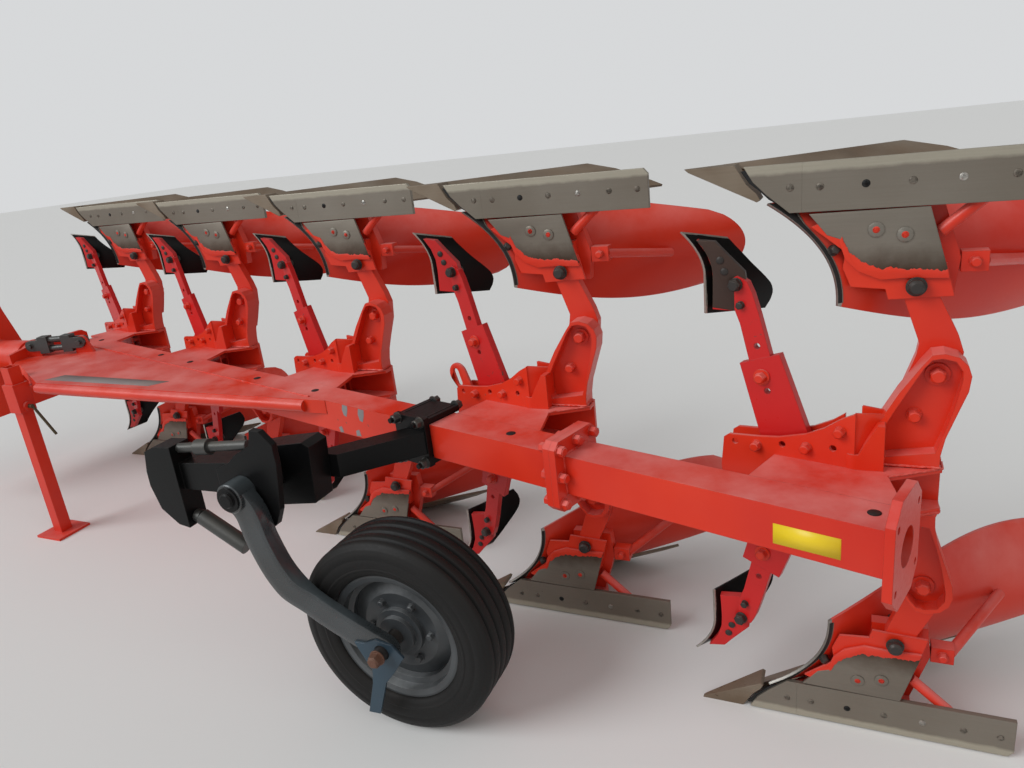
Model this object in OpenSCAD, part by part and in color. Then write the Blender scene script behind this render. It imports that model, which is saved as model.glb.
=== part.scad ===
// Mounted reversible mouldboard plough with five pairs of bodies, a swing-over gauge wheel and a parking stand.
// Millimetres. X points the way the plough is drawn, Y to its left, Z up.
// The origin is the middle of the top-link pin hole. Inside plough() the origin is the front joint of the
// first landside at the height of the beam's middle, and the lower bodies mirror the upper ones.

/* [Layout] */
// Distance between bodies along the travel
furrow_gap = 1000; // [940:10:1080]
// Sideways step from one body to the next
furrow_step = 300; // [280:5:320]
// Height of the beam's middle above the floor
stand_height = 812; // [800:2:840]

/* [Hitch] */
// Lower-link axis ahead of the first landside joint
link_ahead = 960; // [950:5:1000]
// Lower-link axis below the turnover axis
link_drop = 300; // [280:5:320]
// Top-link pin hole above the lower-link axis
mast_height = 685; // [660:5:710]
// Top-link pin hole behind the lower-link axis
mast_rake = 50; // [30:5:70]
// Span between the lower-link shoulders
shoulder_span = 965; // [900:5:1000]
// Diameter of the lower-link pins
link_pin_d = 36.6; // [28:0.1:37]
// Free length of each lower-link pin
link_pin_reach = 80; // [70:1:95]
// Diameter of the cross shaft between the lower ears
cross_shaft_d = 50; // [44:1:56]
// Diameter of the top-link pin hole
top_hole_d = 32.5; // [25.7:0.1:33]
// Clear width between the top-link ears
top_gap = 56; // [52:1:64]
// Thickness of the top-link ears
top_ear_t = 22; // [18:1:26]
// Thickness of the lower ears
low_ear_t = 25; // [20:1:30]
// Thickness of the mast plate
mast_t = 20; // [16:1:24]

/* [Turnover] */
// Turnover axis to the left of the first landside
rotor_left = 400; // [380:5:420]
// Diameter of the turnover shaft
rotor_d = 110; // [100:1:120]
// Outside diameter of the shaft housing
housing_d = 190; // [180:1:210]
// Diameter of the neck between the frame and the shaft housing
neck_d = 170; // [160:1:180]
// Running clearance around the shaft
rotor_play = 0.5; // [0.4:0.1:1]
// Rear end of the shaft housing ahead of the first landside
housing_rear = 330; // [310:5:340]
// Mast plate ahead of the first landside
mast_at = 640; // [630:1:655]
// Radius of the crank pin
crank_r = 95; // [85:1:105]
// Height of the cylinder's upper eye above the turnover axis
cylinder_top = 250; // [240:2:256]
// Diameter of the cylinder barrel
barrel_d = 72; // [64:1:80]
// Diameter of the cylinder rod
rod_d = 36; // [30:1:40]

/* [Beam] */
// Outside width and height of the square beam
beam_side = 120; // [110:1:130]
// Wall of the beam tube
beam_wall = 10; // [8:0.5:12]
// Beam's middle to the left of the first landside
beam_left = 254; // [244:1:264]
// Front end of the beam ahead of the first landside
beam_front = 60; // [50:1:60]
// Bolted joint behind the first landside
joint_back = 3375; // [3340:5:3420]
// Rear end of the beam behind the first landside
beam_back = 4245; // [4230:5:4290]
// Thickness of the joint and end plates
flange_t = 22; // [18:1:26]
// Width of the joint and end plates
flange_w = 200; // [190:1:210]
// Height of the end plate
end_plate_h = 270; // [250:2:290]
// Height of the joint plates
joint_plate_h = 220; // [200:2:240]
// Diameter of the round hole in the end plate
end_hole_d = 96; // [84:1:98]
// Diameter of the end plate's bolt holes
end_bolt_d = 18; // [16:1:20]
// Half spacing of the end plate's bolt holes
end_bolt_half = 78; // [76:1:80]

/* [Front frame] */
// Thickness of the frame's cover plates
cover_t = 12; // [10:1:15]
// Depth of the frame's wedge below the beam's top
wedge_depth = 56; // [50:1:62]
// Front outer corner of the wedge to the left
wedge_front_left = 723; // [700:1:740]
// Outer shoulder of the wedge to the left
wedge_side_left = 965; // [950:1:980]
// Outer shoulder of the wedge behind the first landside
wedge_side_back = 540; // [520:5:560]
// Rear end of the wedge behind the first landside
wedge_back = 2290; // [2240:5:2340]
// Diameter of the wedge's edge bar
edge_bar_d = 46; // [40:1:50]
// Thickness of the turnover plate
rotor_plate_t = 25; // [22:1:28]

/* [Parking stand] */
// Stand to the left of the first landside
stand_left = 910; // [905:1:920]
// Stand behind the first landside
stand_back = 283; // [275:1:290]
// Outside width of the stand's square tube
stand_side = 60; // [56:1:64]
// Wall of the stand's tube
stand_wall = 5; // [4:0.5:7]
// Wall of the stand's sleeve
sleeve_wall = 11; // [9:1:13]
// Clearance of the tube in its sleeve
sleeve_play = 1; // [0.5:0.5:1.5]
// Width of the stand's foot
foot_w = 180; // [150:5:200]
// Height of the stand's top above the beam's middle
stand_top = 118; // [110:1:130]

/* [Gauge wheel] */
// Outside diameter of the tyre
tyre_d = 670; // [650:2:680]
// Width of the tyre
tyre_w = 205; // [190:1:215]
// Diameter of the rim's flanges
rim_d = 436; // [420:2:440]
// Wheel's middle behind the first landside
wheel_back = 2867; // [2840:5:2900]
// Wheel's middle to the left of the first landside
wheel_left = 1502; // [1495:1:1510]
// Wheel pivot behind the first landside
pivot_back = 2428; // [2420:4:2440]
// Width of the wheel leg
wheel_leg_w = 90; // [84:1:96]
// Thickness of the wheel leg
wheel_leg_t = 50; // [44:1:56]
// Side of the square arm that carries the wheel
arm_side = 80; // [74:1:84]
// Diameter of the wheel pivot
pivot_d = 96; // [86:1:104]

/* [Furrow arm] */
// Height of the upper leg pivot above the beam's middle
leg_pivot_up = 292; // [286:1:300]
// Leg pivot behind the landside joint
leg_pivot_back = 311; // [305:1:317]
// Width of the leg holder's casting
holder_w = 66; // [60:1:70]
// Depth of the pocket in the leg holder
pocket_depth = 40; // [30:1:46]
// Outside width of the skimmer channel
channel_w = 70; // [64:1:76]
// Wall of the skimmer channel
channel_wall = 10; // [8:1:12]
// Front end of the channel ahead of the landside joint
channel_front = 205; // [198:1:212]
// Channel's middle to the left of the landside joint
arm_left = 5; // [2:1:8]

/* [Plough body] */
// Height of a landside
landside_h = 116; // [110:1:122]
// Length of a landside behind its front joint
landside_len = 554; // [540:2:570]
// Thickness of the landside
landside_t = 14; // [12:1:16]
// Ground clearance of the landside behind the point
heel_lift = 6; // [4:1:8]
// Length of the mouldboard along its level lines
board_len = 860; // [820:5:880]
// Thickness of the mouldboard
board_t = 8; // [6:0.5:10]
// Height of the share
share_h = 100; // [90:1:104]
// Thickness of the share
share_t = 11; // [9:0.5:12]
// Reach of the share to the right of the landside
share_reach = 430; // [410:5:440]
// Thickness of the leg
leg_t = 34; // [30:1:36]
// Diameter of the stays behind the mouldboard and the landside
stay_d = 29; // [24:1:31]

/* [Skimmer] */
// Length of the skimmer board along its level lines
skim_len = 240; // [220:2:250]
// Thickness of the skimmer board
skim_t = 6; // [5:0.5:8]
// Thickness of the skimmer's flat bar
skim_bar_t = 22; // [18:1:24]
// Diameter of the spare holes in the channel and the stem
spare_hole_d = 17; // [13:1:18]

/* [Hidden] */
$fn = 48;
hull_fn = 32;
seat = 0.3;
slope = furrow_step / furrow_gap;
swing = atan(slope);
stretch = 1 / cos(swing);
half_beam = beam_side / 2;
top_ahead = link_ahead - mast_rake;
top_up = mast_height - link_drop;
red = "orangered";
steel = "slategray";

// Places along the beam

function beam_mid(x) = beam_left - slope * x;
function near_face(x) = beam_mid(x) + half_beam * stretch;
function far_face(x) = beam_mid(x) - half_beam * stretch;

module plough() translate([-top_ahead, -rotor_left, -top_up]) children();

module on_beam() translate([0, beam_left, 0]) rotate([0, 0, -swing]) children();

// The skimmer channels and stems lie along the beam
module on_arm() translate([0, arm_left, 0]) rotate([0, 0, -swing]) children();

module at_furrow(i) translate([-i * furrow_gap, i * furrow_step, 0]) children();

module both_ways() {
    children();
    mirror([0, 0, 1]) children();
}

// A plate that stands along the travel, between two places across it, from its side outline [x, z]
module side_plate(y0, y1) translate([0, y1, 0]) rotate([90, 0, 0]) linear_extrude(y1 - y0) children();

// A plate that stands across the travel, between two places along it, from its outline [y, z]
module cross_plate(x0, x1) translate([x0, 0, 0]) rotate([90, 0, 90]) linear_extrude(x1 - x0) children();

// A round bar between two points
module bar(a, b, d) {
    run = b - a;
    flat = norm([run[0], run[1]]);
    translate(a) rotate([0, atan2(flat, run[2]), atan2(run[1], run[0])]) cylinder(h = norm(run), d = d);
}

module cross_pin(x, z, y0, y1, d) translate([x, y0, z]) rotate([-90, 0, 0]) cylinder(h = y1 - y0, d = d);

function edge_cross(p, r, q, s) =
    let (k = ((q[0] - p[0]) * s[1] - (q[1] - p[1]) * s[0]) / (r[0] * s[1] - r[1] * s[0])) p + k * r;

// An outline moved inwards by a wall, its points counter-clockwise
function inset(pts, wall) =
    let (n = len(pts))
    [for (i = [0 : n - 1])
        let (
            back = pts[i] - pts[(i + n - 1) % n],
            ahead = pts[(i + 1) % n] - pts[i],
            in_back = [-back[1], back[0]] / norm(back) * wall,
            in_ahead = [-ahead[1], ahead[0]] / norm(ahead) * wall
        )
        edge_cross(pts[i] + in_back, back, pts[i] + in_ahead, ahead)];

// Curved boards: level lines that start on the shin's curve and turn with their height.
// shape = [tip x, plumb x, height of the curve, power, least angle, turn, height of the least angle]

mould_shape = [283, -70, 350, 2.3, 35, 5.2, 200];
skim_shape = [306, 249, 115, 2, 44, 4, 110];

function shin_x(shape, h) =
    shape[1] + (shape[0] - shape[1]) * pow(max(0, 1 - h / shape[2]), shape[3]);
function line_angle(shape, h) = shape[4] + shape[5] * pow((h - shape[6]) / shape[6], 2);
function shin_slope(shape, h) =
    (shape[0] - shape[1]) * shape[3] / shape[2] * pow(max(0, 1 - h / shape[2]), shape[3] - 1);
function on_board(shape, t, h, sink) =
    let (
        a = line_angle(shape, h),
        k = shin_slope(shape, h) * sin(a),
        n = [sin(a), -cos(a), k] / norm([1, k])
    )
    [shin_x(shape, h) - t * cos(a), -t * sin(a), h] - sink * n;
function above_floor(p) = [p[0], p[1], max(p[2], 0)];

// Where a plane along the travel meets the surface that lies a given depth behind a board
function behind(shape, h, y, sink) =
    let (
        near = on_board(shape, 0, h, sink),
        up = 2 * h - near[2],
        p = on_board(shape, 0, up, sink)
    )
    p[0] + (y - p[1]) / tan(line_angle(shape, up));

// A closed plate between two grids of points with the same rows and columns
module grid_plate(front, back) {
    rows = len(front);
    cols = len(front[0]);
    size = rows * cols;
    last = rows - 1;
    edge = cols - 1;
    points = concat([for (r = front) for (p = r) p], [for (r = back) for (p = r) p]);
    faces = concat(
        [for (r = [0 : last - 1]) for (c = [0 : edge - 1]) each
            let (a = r * cols + c, b = a + 1, d = a + cols, e = d + 1)
            [[a, b, e], [a, e, d], [size + a, size + e, size + b], [size + a, size + d, size + e]]],
        [for (c = [0 : edge - 1]) each
            let (a = c, b = c + 1, d = last * cols + c, e = d + 1)
            [[a, size + a, size + b], [a, size + b, b], [d, e, size + e], [d, size + e, size + d]]],
        [for (r = [0 : last - 1]) each
            let (a = r * cols, b = a + cols, d = a + edge, e = d + cols)
            [[a, b, size + b], [a, size + b, size + a], [d, size + d, size + e], [d, size + e, e]]]
    );
    polyhedron(points = points, faces = faces);
}

// Headstock, the part that stays with the tractor

base_z = -link_drop - 60;
mast_outline = [
    [-440, base_z], [440, base_z], [440, -link_drop + 70], [190, -60], [100, 260],
    [70, top_up + 40], [-70, top_up + 40], [-100, 260], [-190, -60], [-440, -link_drop + 70]
];

module ear(x, z, r, hole, root_z0, root_z1, x_root) difference() {
    union() {
        polygon([[x_root, root_z0], [x + r * 0.2, z - r], [x + r * 0.2, z + r], [x_root, root_z1]]);
        translate([x, z]) circle(r = r);
    }
    translate([x, z]) circle(d = hole);
}

module headstock() color(red) plough() translate([0, rotor_left, 0]) {
    front = mast_at + mast_t;
    difference() {
        union() {
            translate([housing_rear, 0, 0]) rotate([0, 90, 0]) cylinder(h = front + 50 - housing_rear, d = housing_d);
            cross_plate(mast_at, front) polygon(mast_outline);
            for (s = [-1, 1]) {
                y = s * (shoulder_span / 2 - low_ear_t / 2);
                side_plate(y - low_ear_t / 2, y + low_ear_t / 2)
                    ear(link_ahead, -link_drop, 52, cross_shaft_d + 2 * seat, base_z, -link_drop + 110, mast_at);
                top_y = s * (top_gap / 2 + top_ear_t / 2);
                side_plate(top_y - top_ear_t / 2, top_y + top_ear_t / 2)
                    ear(top_ahead, top_up, 45, top_hole_d, top_up - 85, top_up + 40, mast_at);
            }
            cross_plate(mast_at, front + 150) translate([-shoulder_span / 2, base_z])
                square([shoulder_span, cover_t]);
        }
        translate([housing_rear - 1, 0, 0]) rotate([0, 90, 0])
            cylinder(h = front + 60 - housing_rear, d = rotor_d + 2 * rotor_play);
    }
    translate([front - 1, 0, cylinder_top]) rotate([0, 90, 0]) {
        cylinder(h = cylinder_x - eye_side - seat - front + 1, d = 64);
        cylinder(h = cylinder_x + eye_side + 5 - front, d = eye_pin_d);
    }
}

module hitch_shaft() color(steel) plough() translate([0, rotor_left, 0]) {
    inner = shoulder_span / 2;
    cross_pin(link_ahead, -link_drop, -inner, inner, cross_shaft_d);
    for (start = [-inner - link_pin_reach, inner])
        cross_pin(link_ahead, -link_drop, start, start + link_pin_reach, link_pin_d);
}

crank_x = mast_at + mast_t + 62;
crank_t = 22;
crank_pin_reach = 12;
eye_pin_d = 36;
eye_side = 20;
clear = 5;
cylinder_x = crank_x + crank_t + crank_pin_reach + clear + barrel_d / 2;
cylinder_len = norm([crank_r, cylinder_top]);
cylinder_lean = atan(crank_r / cylinder_top);

module turnover_shaft() color(red) plough() translate([0, rotor_left, 0]) {
    translate([beam_front + seat, 0, 0]) rotate([0, 90, 0]) {
        cylinder(h = crank_x + crank_t - beam_front - seat, d = rotor_d);
        cylinder(h = housing_rear - clear - beam_front, d = neck_d);
    }
    cross_plate(beam_front + seat, beam_front + rotor_plate_t) difference() {
        polygon([[-160, -150], [160, -150], [290, -20], [290, 100], [160, 120], [-160, 120], [-190, 100], [-190, -110]]);
        for (a = [45 : 90 : 315]) translate([118 * cos(a), 118 * sin(a)]) circle(d = 22);
    }
    translate([0, -rotor_left, 0]) at_screw(norm(screw_run)) mirror([1, 0, 0]) screw_lug();
    cross_plate(crank_x, crank_x + crank_t) hull() {
        circle(d = rotor_d + 20, $fn = hull_fn);
        translate([crank_r, 0]) circle(d = 70, $fn = hull_fn);
    }
    translate([crank_x, crank_r, 0]) rotate([0, 90, 0]) cylinder(h = crank_t + crank_pin_reach, d = eye_pin_d);
}

module on_cylinder() plough()
    translate([cylinder_x, rotor_left, cylinder_top]) rotate([180 + cylinder_lean, 0, 0]) children();

module cylinder_barrel() color("dimgray") on_cylinder() {
    difference() {
        union() {
            translate([-eye_side, 0, 0]) rotate([0, 90, 0]) cylinder(h = 2 * eye_side, d = 70);
            cylinder(h = 50, d = 38);
            translate([0, 0, 44]) cylinder(h = 164, d = barrel_d);
        }
        translate([-eye_side - 1, 0, 0]) rotate([0, 90, 0]) cylinder(h = 2 * eye_side + 2, d = eye_pin_d + 2 * seat);
        translate([0, 0, 60]) cylinder(h = 160, d = rod_d + 2 * seat);
    }
}

module cylinder_rod() color("silver") on_cylinder() difference() {
    union() {
        translate([0, 0, 62]) cylinder(h = cylinder_len - 62, d = rod_d);
        translate([-barrel_d / 2, 0, cylinder_len]) rotate([0, 90, 0]) cylinder(h = barrel_d / 2 + eye_side, d = 64);
    }
    translate([-barrel_d / 2 - 1, 0, cylinder_len]) rotate([0, 90, 0])
        cylinder(h = barrel_d / 2 + eye_side + 2, d = eye_pin_d + 2 * seat);
}

// Front frame and beam

tail_left = near_face(-wedge_back) + seat;
edge_bar_share = 0.94;
wedge = [
    [-wedge_back, tail_left], [beam_front, near_face(beam_front) + seat], [beam_front, wedge_front_left - 60],
    [0, wedge_front_left], [-60, wedge_front_left], [-wedge_side_back, wedge_side_left]
];

module front_frame() color(red) plough() {
    top = half_beam;
    difference() {
        translate([0, 0, top - wedge_depth]) linear_extrude(wedge_depth) polygon(wedge);
        translate([0, 0, top - wedge_depth + cover_t]) linear_extrude(wedge_depth - 2 * cover_t) {
            polygon(inset(wedge, cover_t));
            translate([beam_front - 2 * cover_t, rotor_left - 70]) square([3 * cover_t, 300]);
        }
    }
    side_mid = half_beam - wedge_depth / 2;
    shoulder = [-wedge_side_back, wedge_side_left, side_mid];
    bar(shoulder, shoulder + edge_bar_share * ([-wedge_back, tail_left - 1, side_mid] - shoulder), edge_bar_d);
    box_in = near_face(-140) + seat;
    box_out = rotor_left + 160;
    difference() {
        translate([-140, box_in, -120]) cube([beam_front + 140, box_out - box_in, top + 120 - wedge_depth]);
        translate([-128, box_in + cover_t, -108])
            cube([beam_front + 140, box_out - box_in - 2 * cover_t, top + 96 - wedge_depth]);
    }
    at_screw(0) screw_lug();
}

// The screw that sets the frame's angle lies on the wedge, pinned to a lug at each end

screw_up = 62;
screw_rear = [-255, 478, half_beam + screw_up];
screw_front = [25, 568, half_beam + screw_up];
screw_run = screw_front - screw_rear;
screw_yaw = atan2(screw_run[1], screw_run[0]);
lug_t = 20;
clevis_t = 14;

module at_screw(along) translate(screw_rear) rotate([0, 0, screw_yaw]) translate([along, 0, 0]) children();

module screw_lug() side_plate(-lug_t / 2, lug_t / 2) difference() {
    union() {
        polygon([[-60, -screw_up], [45, -screw_up], [32, 0], [-32, 0]]);
        circle(r = 32);
    }
    circle(d = 25);
}

module screw_clevis() {
    half = lug_t / 2 + seat;
    for (s = [0, 1]) mirror([0, s, 0]) side_plate(half, half + clevis_t) difference() {
        union() {
            circle(r = 30);
            translate([0, -30]) square([78, 60]);
        }
        circle(d = 25);
    }
    translate([50, -half - clevis_t, -46]) cube([56, 2 * (half + clevis_t), 92]);
}

module offset_screw() color("dimgray") plough() {
    far = norm(screw_run);
    at_screw(0) screw_clevis();
    at_screw(far) mirror([1, 0, 0]) screw_clevis();
    at_screw(0) for (s = [-24, 24]) bar([100, 0, s], [far - 100, 0, s], 34);
    for (e = [0, far]) at_screw(e) cross_pin(0, 0, -38, 38, 25);
}

module beam_run(x_rear, x_front) on_beam() difference() {
    translate([x_rear, -half_beam, -half_beam]) cube([x_front - x_rear, beam_side, beam_side]);
    translate([x_rear - 1, -half_beam + beam_wall, -half_beam + beam_wall])
        cube([x_front - x_rear + 2, beam_side - 2 * beam_wall, beam_side - 2 * beam_wall]);
}

module flange(x, h, chamfer) on_beam() cross_plate(x, x + flange_t)
    polygon([
        [-flange_w / 2, -h / 2 + chamfer], [-flange_w / 2 + chamfer, -h / 2], [flange_w / 2 - chamfer, -h / 2],
        [flange_w / 2, -h / 2 + chamfer], [flange_w / 2, h / 2 - chamfer], [flange_w / 2 - chamfer, h / 2],
        [-flange_w / 2 + chamfer, h / 2], [-flange_w / 2, h / 2 - chamfer]
    ]);

joint_x = -joint_back * stretch;
end_x = -beam_back * stretch;

module main_beam() color(red) plough() {
    beam_run(joint_x + flange_t, beam_front * stretch - half_beam * slope);
    flange(joint_x, joint_plate_h, 20);
}

module rear_beam() color(red) plough() {
    beam_run(end_x + flange_t, joint_x - flange_t);
    flange(joint_x - flange_t, joint_plate_h, 20);
    difference() {
        flange(end_x, end_plate_h, 45);
        on_beam() translate([end_x - 1, 0, 0]) rotate([0, 90, 0]) {
            cylinder(h = flange_t + 2, d = end_hole_d);
            for (a = [45 : 90 : 315]) rotate([0, 0, a]) translate([end_bolt_half * sqrt(2), 0, 0])
                cylinder(h = flange_t + 2, d = end_bolt_d);
        }
    }
}

// Parking stand

sleeve_side = stand_side + 2 * (sleeve_play + sleeve_wall);

module square_tube(side, wall, z0, z1) difference() {
    translate([-side / 2, -side / 2, z0]) cube([side, side, z1 - z0]);
    translate([-side / 2 + wall, -side / 2 + wall, z0 - 1]) cube([side - 2 * wall, side - 2 * wall, z1 - z0 + 2]);
}

module at_stand() plough() translate([-stand_back, stand_left, 0]) children();

clamp_screw_z = -90;
clamp_screw_d = 20;
sleeve_wall_x = stand_side / 2 + sleeve_play;

module rear_screw(d, x0, x1) translate([-x1, 0, clamp_screw_z]) rotate([0, 90, 0]) cylinder(h = x1 - x0, d = d);

module stand_sleeve() color(red) {
    at_stand() difference() {
        union() {
            square_tube(sleeve_side, sleeve_wall, -118, 30);
            rear_screw(48, sleeve_wall_x + 1, sleeve_side / 2 + 16);
        }
        rear_screw(clamp_screw_d + 2 * seat, sleeve_wall_x - 1, sleeve_side / 2 + 20);
    }
    plough() translate([0, 0, half_beam - wedge_depth - seat - cover_t]) linear_extrude(cover_t)
        polygon([
            [-stand_back - sleeve_side / 2, stand_left - sleeve_side / 2 + 1],
            [-stand_back - sleeve_side / 2 - 60, stand_left - sleeve_side / 2 - 80],
            [-stand_back + sleeve_side / 2, stand_left - sleeve_side / 2 - 130],
            [-stand_back + sleeve_side / 2, stand_left - sleeve_side / 2 + 1]
        ]);
}

module stand_leg() color(red) at_stand() {
    square_tube(stand_side, stand_wall, -stand_height + cover_t, stand_top);
    translate([-foot_w / 2, -foot_w / 2, -stand_height]) cube([foot_w, foot_w, cover_t]);
}

module stand_pin() color("darkslategray") at_stand() {
    tip = stand_side / 2 + seat;
    out = sleeve_side / 2 + 40;
    rear_screw(clamp_screw_d, tip, out);
    bar([6 - out, 0, clamp_screw_z + 8], [-18 - out, -60, -265], 14);
}

// Gauge wheel with its arm

wheel_z = -stand_height + tyre_d / 2;
head_out = wheel_left + tyre_w / 2 + 8;
arm_root_x = -2790;
arm_end = [-2560, 1425, 0];
head_in = 1405;
clamp_t = 22;

module wheel_clamp() color("darkslategray") plough() {
    mid = arm_root_x * stretch;
    on_beam() {
        difference() {
            translate([mid - 75, half_beam + seat, -half_beam - 26]) cube([150, clamp_t, beam_side + 52]);
            for (s = [-1, 1]) for (e = [-1, 1])
                translate([mid + s * 55, half_beam, e * (half_beam + 13)]) rotate([-90, 0, 0]) cylinder(h = 30, d = 20);
        }
        for (s = [-1, 1]) {
            translate([mid - 75, -half_beam - 24, s > 0 ? half_beam + seat : -half_beam - seat - 20])
                cube([150, beam_side + 24 + seat, 20]);
            for (z = [-half_beam - 13, half_beam + 13])
                bar([mid + s * 55, -half_beam - 40, z], [mid + s * 55, half_beam + 60, z], 18);
        }
    }
}

module wheel_arm() color("darkslategray") plough() {
    root = [arm_root_x, near_face(arm_root_x) + clamp_t, 0];
    run = arm_end - root;
    yaw = atan2(run[1], run[0]);
    difference() {
        translate(root) rotate([0, 0, yaw]) translate([-arm_side, -arm_side / 2, -arm_side / 2])
            cube([norm(run) + 2 * arm_side, arm_side, arm_side]);
        on_beam() translate([arm_root_x * stretch - 200, -beam_side, -arm_side])
            cube([400, beam_side + half_beam + clamp_t + 2 * seat, 2 * arm_side]);
        translate([arm_end[0] - 200, head_in - seat, -arm_side]) cube([400, 200, 2 * arm_side]);
    }
}

module wheel_head() color("darkslategray") plough() difference() {
    union() {
        side_plate(head_in, head_in + 90)
            polygon([[-2607, 102], [-2590, -90], [-2436, -112], [-2330, -60], [-2330, 70], [-2451, 96], [-2580, 116]]);
        side_plate(head_in + 80, head_out - 22) polygon([[-2480, -30], [-2050, -38], [-2050, 48], [-2480, 84]]);
        side_plate(head_out - 22, head_out) polygon([
            [-2502, 202], [-2537, 199], [-2577, 158], [-2578, 94], [-2567, 22], [-2553, -57], [-2528, -110],
            [-2470, -150], [-2380, -120], [-2330, -50], [-2330, 60], [-2390, 88], [-2415, 111], [-2488, 151]
        ]);
        side_plate(head_out - 80, head_out) polygon([
            [-2014, 24], [-2030, 97], [-2072, 116], [-2146, 119], [-2146, -168], [-2100, -160], [-2037, -109],
            [-2013, -27]
        ]);
    }
    cross_pin(-pivot_back, 0, head_in - 1, head_out + 1, pivot_d + 1);
}

module depth_screws() color("slategray") plough() {
    y = head_out - 22 - 16 - seat;
    bar([-2148, y, 103], [-2447, y, 135], 32);
    bar([-2231, y, 112], [-2287, y, 118], 52);
    bar([-2149, y, -140], [-2172, y, -143], 44);
    bar([-2172, y, -143], [-2340, y, -235], 54);
}

leg_path = [
    [-pivot_back, 0], [-2468, -56], [-2489, -150], [-2533, -258], [-2605, -342], [-2700, -400], [-wheel_back, wheel_z]
];
leg_in = head_out + 6;
low_leg_t = 30;

module wheel_leg() color("dimgray") plough() {
    cross_pin(-pivot_back, 0, head_in, leg_in + wheel_leg_t + 12, pivot_d);
    for (i = [0 : len(leg_path) - 2])
        side_plate(leg_in, leg_in + (i < 4 ? wheel_leg_t : low_leg_t)) hull() {
            translate(leg_path[i]) circle(d = wheel_leg_w, $fn = hull_fn);
            translate(leg_path[i + 1]) circle(d = wheel_leg_w, $fn = hull_fn);
        }
}

module wheel_axle() color("dimgray") plough() {
    cross_pin(-wheel_back, wheel_z, wheel_left - 60, leg_in - seat, 50);
    cross_pin(-wheel_back, wheel_z, leg_in + low_leg_t + seat, leg_in + low_leg_t + 30, 46);
}

module wheel_scraper() color("steelblue") plough() side_plate(leg_in + low_leg_t + seat, leg_in + low_leg_t + 8)
    translate([-wheel_back, wheel_z]) difference() {
        polygon([
            [95, 20], [57, 22], [16, 42], [-40, 34], [-76, -4], [-30, -70], [5, -112], [50, -238], [92, -240],
            [56, -125], [47, -70], [70, -30]
        ]);
        circle(d = 50);
    }

module at_wheel() plough() translate([-wheel_back, wheel_left, wheel_z]) rotate([-90, 0, 0]) children();

rim_half = tyre_w / 2 - 22;
bead_r = rim_d / 2 - 18;
well_r = rim_d / 2 - 36;

module wheel_rim() color("lightsteelblue") at_wheel() {
    r = rim_d / 2;
    rotate_extrude() polygon([
        [r, -rim_half], [r, -rim_half + 7], [bead_r, -rim_half + 8], [bead_r, -42], [well_r, -36], [well_r, 36],
        [bead_r, 42], [bead_r, rim_half - 8], [r, rim_half - 7], [r, rim_half], [r - 7, rim_half],
        [bead_r - 6, rim_half - 4], [bead_r - 6, 46], [well_r - 6, 40], [well_r - 6, 18], [130, 40], [82, 40],
        [82, 56], [62, 56], [62, 72], [25 + seat, 72], [25 + seat, -60], [50, -60], [50, -10], [78, 30],
        [130, 30], [well_r - 6, 6], [well_r - 6, -40], [bead_r - 6, -46], [bead_r - 6, -rim_half + 4],
        [r - 7, -rim_half]
    ]);
}

module tyre() color("black") at_wheel() {
    half = tyre_w / 2;
    r = tyre_d / 2;
    flange_r = rim_d / 2 + seat;
    seat_r = bead_r + seat;
    rib = tyre_w / 5;
    tread = [for (i = [-1.5 : 1 : 1.5]) each
        [[r - 2, i * rib - 7], [r - 12, i * rib - 4], [r - 12, i * rib + 4], [r - 2, i * rib + 7]]];
    rotate_extrude() polygon(concat(
        [[seat_r, -44], [seat_r, -rim_half + 9], [flange_r, -rim_half + 8], [flange_r, -rim_half - 2],
         [flange_r + 12, -half + 8], [flange_r + 40, -half], [r - 50, -half + 2], [r - 18, -half + 12],
         [r - 2, -half + 24]],
        tread,
        [[r - 2, half - 24], [r - 18, half - 12], [r - 50, half - 2], [flange_r + 40, half],
         [flange_r + 12, half - 8], [flange_r, rim_half + 2], [flange_r, rim_half - 8], [seat_r, rim_half - 9],
         [seat_r, 44]]
    ));
}

// Furrow arm: channel for the skimmers, leg holders and the bracket on the beam

holder_outline = [
    [-188, 64], [-188, 96], [-180, 121], [-187, 179], [-226, 253], [-272, 324], [-292, 351], [-318, 355],
    [-348, 346], [-367, 326], [-375, 301], [-371, 264], [-353, 210], [-331, 143], [-323, 98], [-322, 64]
];
pocket_outline = [
    [-203, 86], [-194, 122], [-196, 160], [-219, 209], [-277, 319], [-293, 339], [-314, 343], [-341, 336],
    [-357, 311], [-357, 284], [-344, 215], [-326, 148], [-311, 103]
];
channel_side = [
    [channel_front, 0], [channel_front - 9, 86], [channel_front - 24, 97], [102, 104], [43, 112], [-28, 133],
    [-75, 158], [-116, 189], [-150, 208], [-150, 0]
];
// Spare holes in the channel's near wall [x, z]
channel_holes = [[163, 79], [32, 94], [-98, 107]];
leg_bolt_d = 30;
holder_in = -16;
holder_out = holder_in + holder_w;
lug_at = [-138, 48];
lug_d = 72;

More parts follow.
